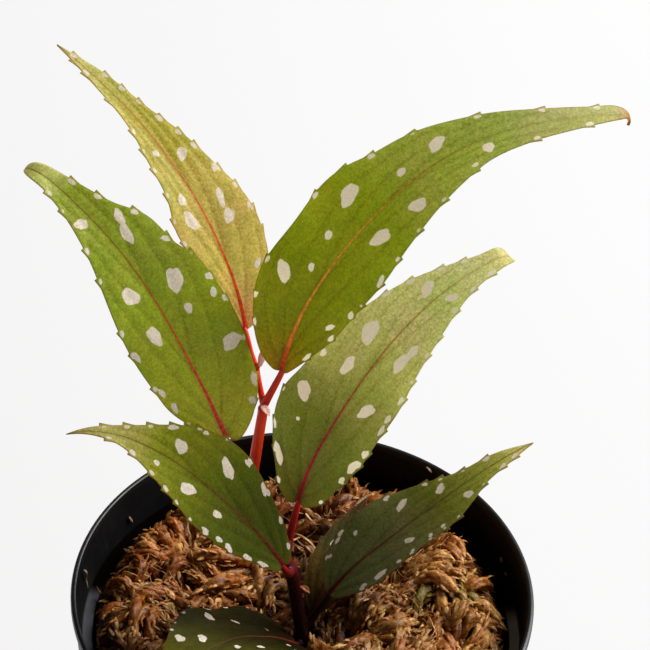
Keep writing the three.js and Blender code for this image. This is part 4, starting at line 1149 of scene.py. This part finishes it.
def moss_strand(heap, rng, line, radius, tint, tip_tint):
    """One fat moss strand, sheathed in overlapping leaflets that end in a fray at its tip, with painted
    shade in its grooves and under each leaflet.
    """
    rings, sides = STRAND_RINGS, STRAND_SIDES
    line = smooth_line(line, rings)
    run = np.concatenate([[0], np.cumsum(np.linalg.norm(np.diff(line, axis=0), axis=1))])
    length = run[-1]
    f = run / length
    radii = radius * np.sin(np.pi * np.clip(0.16 + 0.84 * f, 0, 1)) ** 0.55 + 0.05
    radii *= 1 + 0.08 * np.sin(f * rng.uniform(10, 20) + rng.uniform(0, 6))
    points, faces = tube(line, radii, sides)
    angles = 2 * np.pi * np.arange(sides) / sides

    starts = np.arange(-SCALE_LENGTH, length, SCALE_STEP)
    number = len(starts)
    starts = starts + [rng.uniform(-0.3, 0.3) for _ in range(number)]
    places = 2.4 * np.arange(number) + [rng.uniform(-0.3, 0.3) for _ in range(number)]
    sizes = np.array([rng.uniform(0.7, 1.35) for _ in range(number)])
    reach = (run[:, None] - starts) / (SCALE_LENGTH * sizes)
    apart = (angles[:, None] - places + np.pi) % (2 * np.pi) - np.pi
    half = SCALE_HALF_WIDTH * np.sin(np.pi * np.clip(reach * 0.8 + 0.2, 0, 1)) ** 0.7
    across = np.abs(apart)[None] * radii[:, None, None] / np.maximum(half, 0.01)[:, None]
    covers = (across < 1) & (reach > 0)[:, None] & (reach < 1)[:, None]
    height = np.where(covers, (0.25 + 0.75 * reach[:, None]) * (1 - 0.5 * across ** 2), 0).max(2)
    turn = angles + 1.5 * f[:, None]
    groove = 0.08 * np.sin(5 * turn + rng.uniform(0, 6)) + 0.05 * np.sin(9 * turn + rng.uniform(0, 6))
    swell = 0.76 + 0.52 * height + groove
    # Painted shade: darker in the grooves and at the foot of each leaflet, lighter at the leaflet tips.
    shade = 0.46 + 0.66 * height + 1.8 * groove
    for i in range(1, rings - 1):
        ring = points[1 + (i - 1) * sides:1 + i * sides]
        ring += (ring - line[i]) * (swell[i] - 1)[:, None]
    # The painted shade darkens the tint, and reddens it where it is deepest.
    grey = np.concatenate([[0.8], shade[1:-1].ravel(), [1.1]])[:, None] ** [1, 1.2, 1.4]
    fade = np.concatenate([[0], np.repeat(f[1:-1], sides), [1]])[:, None] ** 3 * 0.7
    heap.add(points, faces, (tint * (1 - fade) + tip_tint * fade) * grey)

    ahead = np.gradient(line, axis=0)
    ahead /= np.linalg.norm(ahead, axis=1)[:, None]
    free = rng.randint(5, 9)
    for i in range(free + rng.randint(7, 12)):
        share = rng.uniform(0.72, 0.97) if i < free else rng.uniform(0.05, 0.8)
        k = int(share * (rings - 1))
        side = np.cross(ahead[k], [0.3, 0.2, 1.0])
        side /= np.linalg.norm(side)
        angle = rng.uniform(0, 6.28)
        outward = side * math.cos(angle) + np.cross(ahead[k], side) * math.sin(angle)
        size = rng.uniform(1.4, 3.1)
        lean = rng.uniform(0.15, 0.55)
        start = line[k] + outward * radii[k] * 0.8
        tip = start + (ahead[k] * math.cos(lean) + outward * math.sin(lean)) * size
        bow = (start + tip) / 2 + outward * size * 0.12
        blade = smooth_line([start, bow, tip], 7)
        own = tip_tint if i < free else tint * 0.7 + tip_tint * 0.3
        radii_here = rng.uniform(0.18, 0.44) * np.array([1, 1.1, 1.2, 1.1, 0.85, 0.5, 0.1])
        heap.add(*tube(blade, radii_here, 6, 0.4), own * rng.uniform(0.7, 1.15))


def strand_line(x, y, heading, length, bend, lift, arch, count=8):
    """The middle of a strand that comes up out of the moss, arches over and drops again."""
    step = length / (count - 1)
    line = []
    for i in range(count):
        f = i / (count - 1)
        over = arch * math.sin(math.pi * min(f * 0.85 + 0.08, 1)) - 1.6 * (1 - f) ** 2
        line.append((x, y, float(moss_height(x, y)) + lift + over))
        way = heading + bend * (f - 0.3)
        x, y = x + math.cos(way) * step, y + math.sin(way) * step
    return np.array(line)


def inside_pot(line, clear):
    """Pulls a line in from the pot's wall."""
    far = np.hypot(line[:, 0], line[:, 1])
    pull = np.minimum((wall_radius(line[:, 2] - clear) - clear) / far, 1)
    line[:, :2] *= pull[:, None]
    return line


def add_moss(blockers):
    rng = random.Random(5)
    heaps = [Heap() for _ in range(4)]
    made = 0
    green = np.array(linear(*MOSS_GREEN))
    for t in range(TUFTS):
        radius = MOSS_REACH * math.sqrt((t + 0.5) / TUFTS)
        turn = t * 2.39996 + rng.uniform(-0.25, 0.25)
        cx, cy = radius * math.cos(turn), radius * math.sin(turn)
        heading = turn + rng.gauss(0, 1.2) if radius > 18 else rng.uniform(0, 2 * math.pi)
        tuft_tint = moss_tint(rng)
        greens = any(math.hypot(cx - gx, cy - gy) < reach for gx, gy, reach in GREEN_PLACES)
        tuft_bend = rng.choice([-1, 1]) * rng.uniform(0.3, 2.4)
        tuft_lift = rng.gauss(-1.5, 1.0)
        number = rng.randint(2, 5)
        for i in range(number):
            aside = (i - (number - 1) / 2) * rng.uniform(1.6, 2.3)
            length = rng.uniform(7, 13)
            x = cx - math.sin(heading) * aside - math.cos(heading) * length * 0.35 + rng.gauss(0, 0.6)
            y = cy + math.cos(heading) * aside - math.sin(heading) * length * 0.35 + rng.gauss(0, 0.6)
            way = heading + 0.1 * aside + rng.gauss(0, 0.25)
            lift = tuft_lift + rng.gauss(0, 0.5)
            line = strand_line(x, y, way, length, tuft_bend + rng.gauss(0, 0.4), lift, rng.uniform(1, 3))
            line = inside_pot(line, 2.2)
            tint = tuft_tint * 0.55 + moss_tint(rng) * 0.45
            # Painted shade: darker round the stem and where the leaves shade the moss.
            tint = tint * (1 - painted_shade(x, y))
            if greens and rng.random() < 0.4:
                tint = green
            width = rng.uniform(0.8, 1.35)
            tip_tint = tint * 0.4 + np.array(linear(*MOSS_TIP)) * 0.6
            if clashes(line, blockers):
                continue
            moss_strand(heaps[made % 4], rng, line, width, tint, tip_tint)
            made += 1
    material = moss_paint("moss_branch_fibre")
    for i, heap in enumerate(heaps):
        heap.piece(f"moss_branches_{i + 1}", material, "moss_fibre")
    add_moss_fibres(rng, blockers, material)


def add_moss_fibres(rng, blockers, material):
    """Flat pale ribbons, fine wisps, and a few bits left on the pot's collar."""
    fibres = Heap()
    ribbons = RIBBONS, (0.35, 0.6), 0.35, 0.15, (204, 154, 96)
    wisps = WISPS, (0.06, 0.14), 1, 0.35, (206, 150, 90)
    for number, wide, flat, wobble, tint in (ribbons, wisps):
        for _ in range(number):
            radius = MOSS_REACH * math.sqrt(rng.random())
            turn = rng.uniform(0, 2 * math.pi)
            x, y = radius * math.cos(turn), radius * math.sin(turn)
            heading, length = turn + rng.gauss(0, 1.3), rng.uniform(6, 13)
            bend, lift, arch = rng.gauss(0, 0.6), rng.uniform(-0.6, 0.8), rng.uniform(1, 2.5)
            line = strand_line(x, y, heading, length, bend, lift, arch)
            line[1:-1] += np.array([[rng.gauss(0, wobble) for _ in range(3)] for _ in range(len(line) - 2)])
            line = inside_pot(line, 0.8)
            width = rng.uniform(*wide)
            if clashes(line, blockers):
                continue
            line = smooth_line(line, 20)
            radii = width * (1 - 0.6 * np.linspace(0, 1, 20))
            fibres.add(*tube(line, radii, 8, flat), np.array(linear(*tint)) * rng.uniform(0.5, 1.15))
    for bit in LOOSE_BITS:
        line = smooth_line(bit, 10)
        radii = 0.34 * np.sin(np.pi * np.linspace(0.1, 0.9, 10))
        fibres.add(*tube(line, radii, 7, 0.5), linear(150, 130, 108))
    fibres.piece("moss_fibres", material, "moss_fibre")


def clashes(line, blockers):
    """True if a moss strand would run into the stem or a low leaf."""
    for points, gap in blockers:
        apart = np.linalg.norm(line[:, None] - points[None], axis=2)
        if apart.min() < gap:
            return True
    return False


# ---------------------------------------------------------------- assembly

add_camera()
add_stage()
blades = {name: add_leaf(name, spec) for name, spec in LEAVES.items()}
add_stem(blades)
scale_skin = scale_paint()
for scale_name, scale_spec in SCALES.items():
    add_scale(scale_name, scale_spec, scale_skin)
add_bud(scale_skin)
add_pot()
low_blades = []
for leaf_name in ("leaf_6", "leaf_7", "leaf_8"):
    reach = np.linspace(0, LEAVES[leaf_name]["length"], 30)
    for offset in (-8, -4, 0, 4, 8):
        low_blades.append(blades[leaf_name].point(reach, np.full(30, float(offset))))
blockers = [(np.vstack(low_blades), 1.6), (smooth_line(STEM_ROUTE, 60), 2.6)]
for _, stalk_route, _ in STALKS[6:]:
    blockers.append((smooth_line(stalk_route, 12), 2.0))
add_moss_bed()
add_moss(blockers)
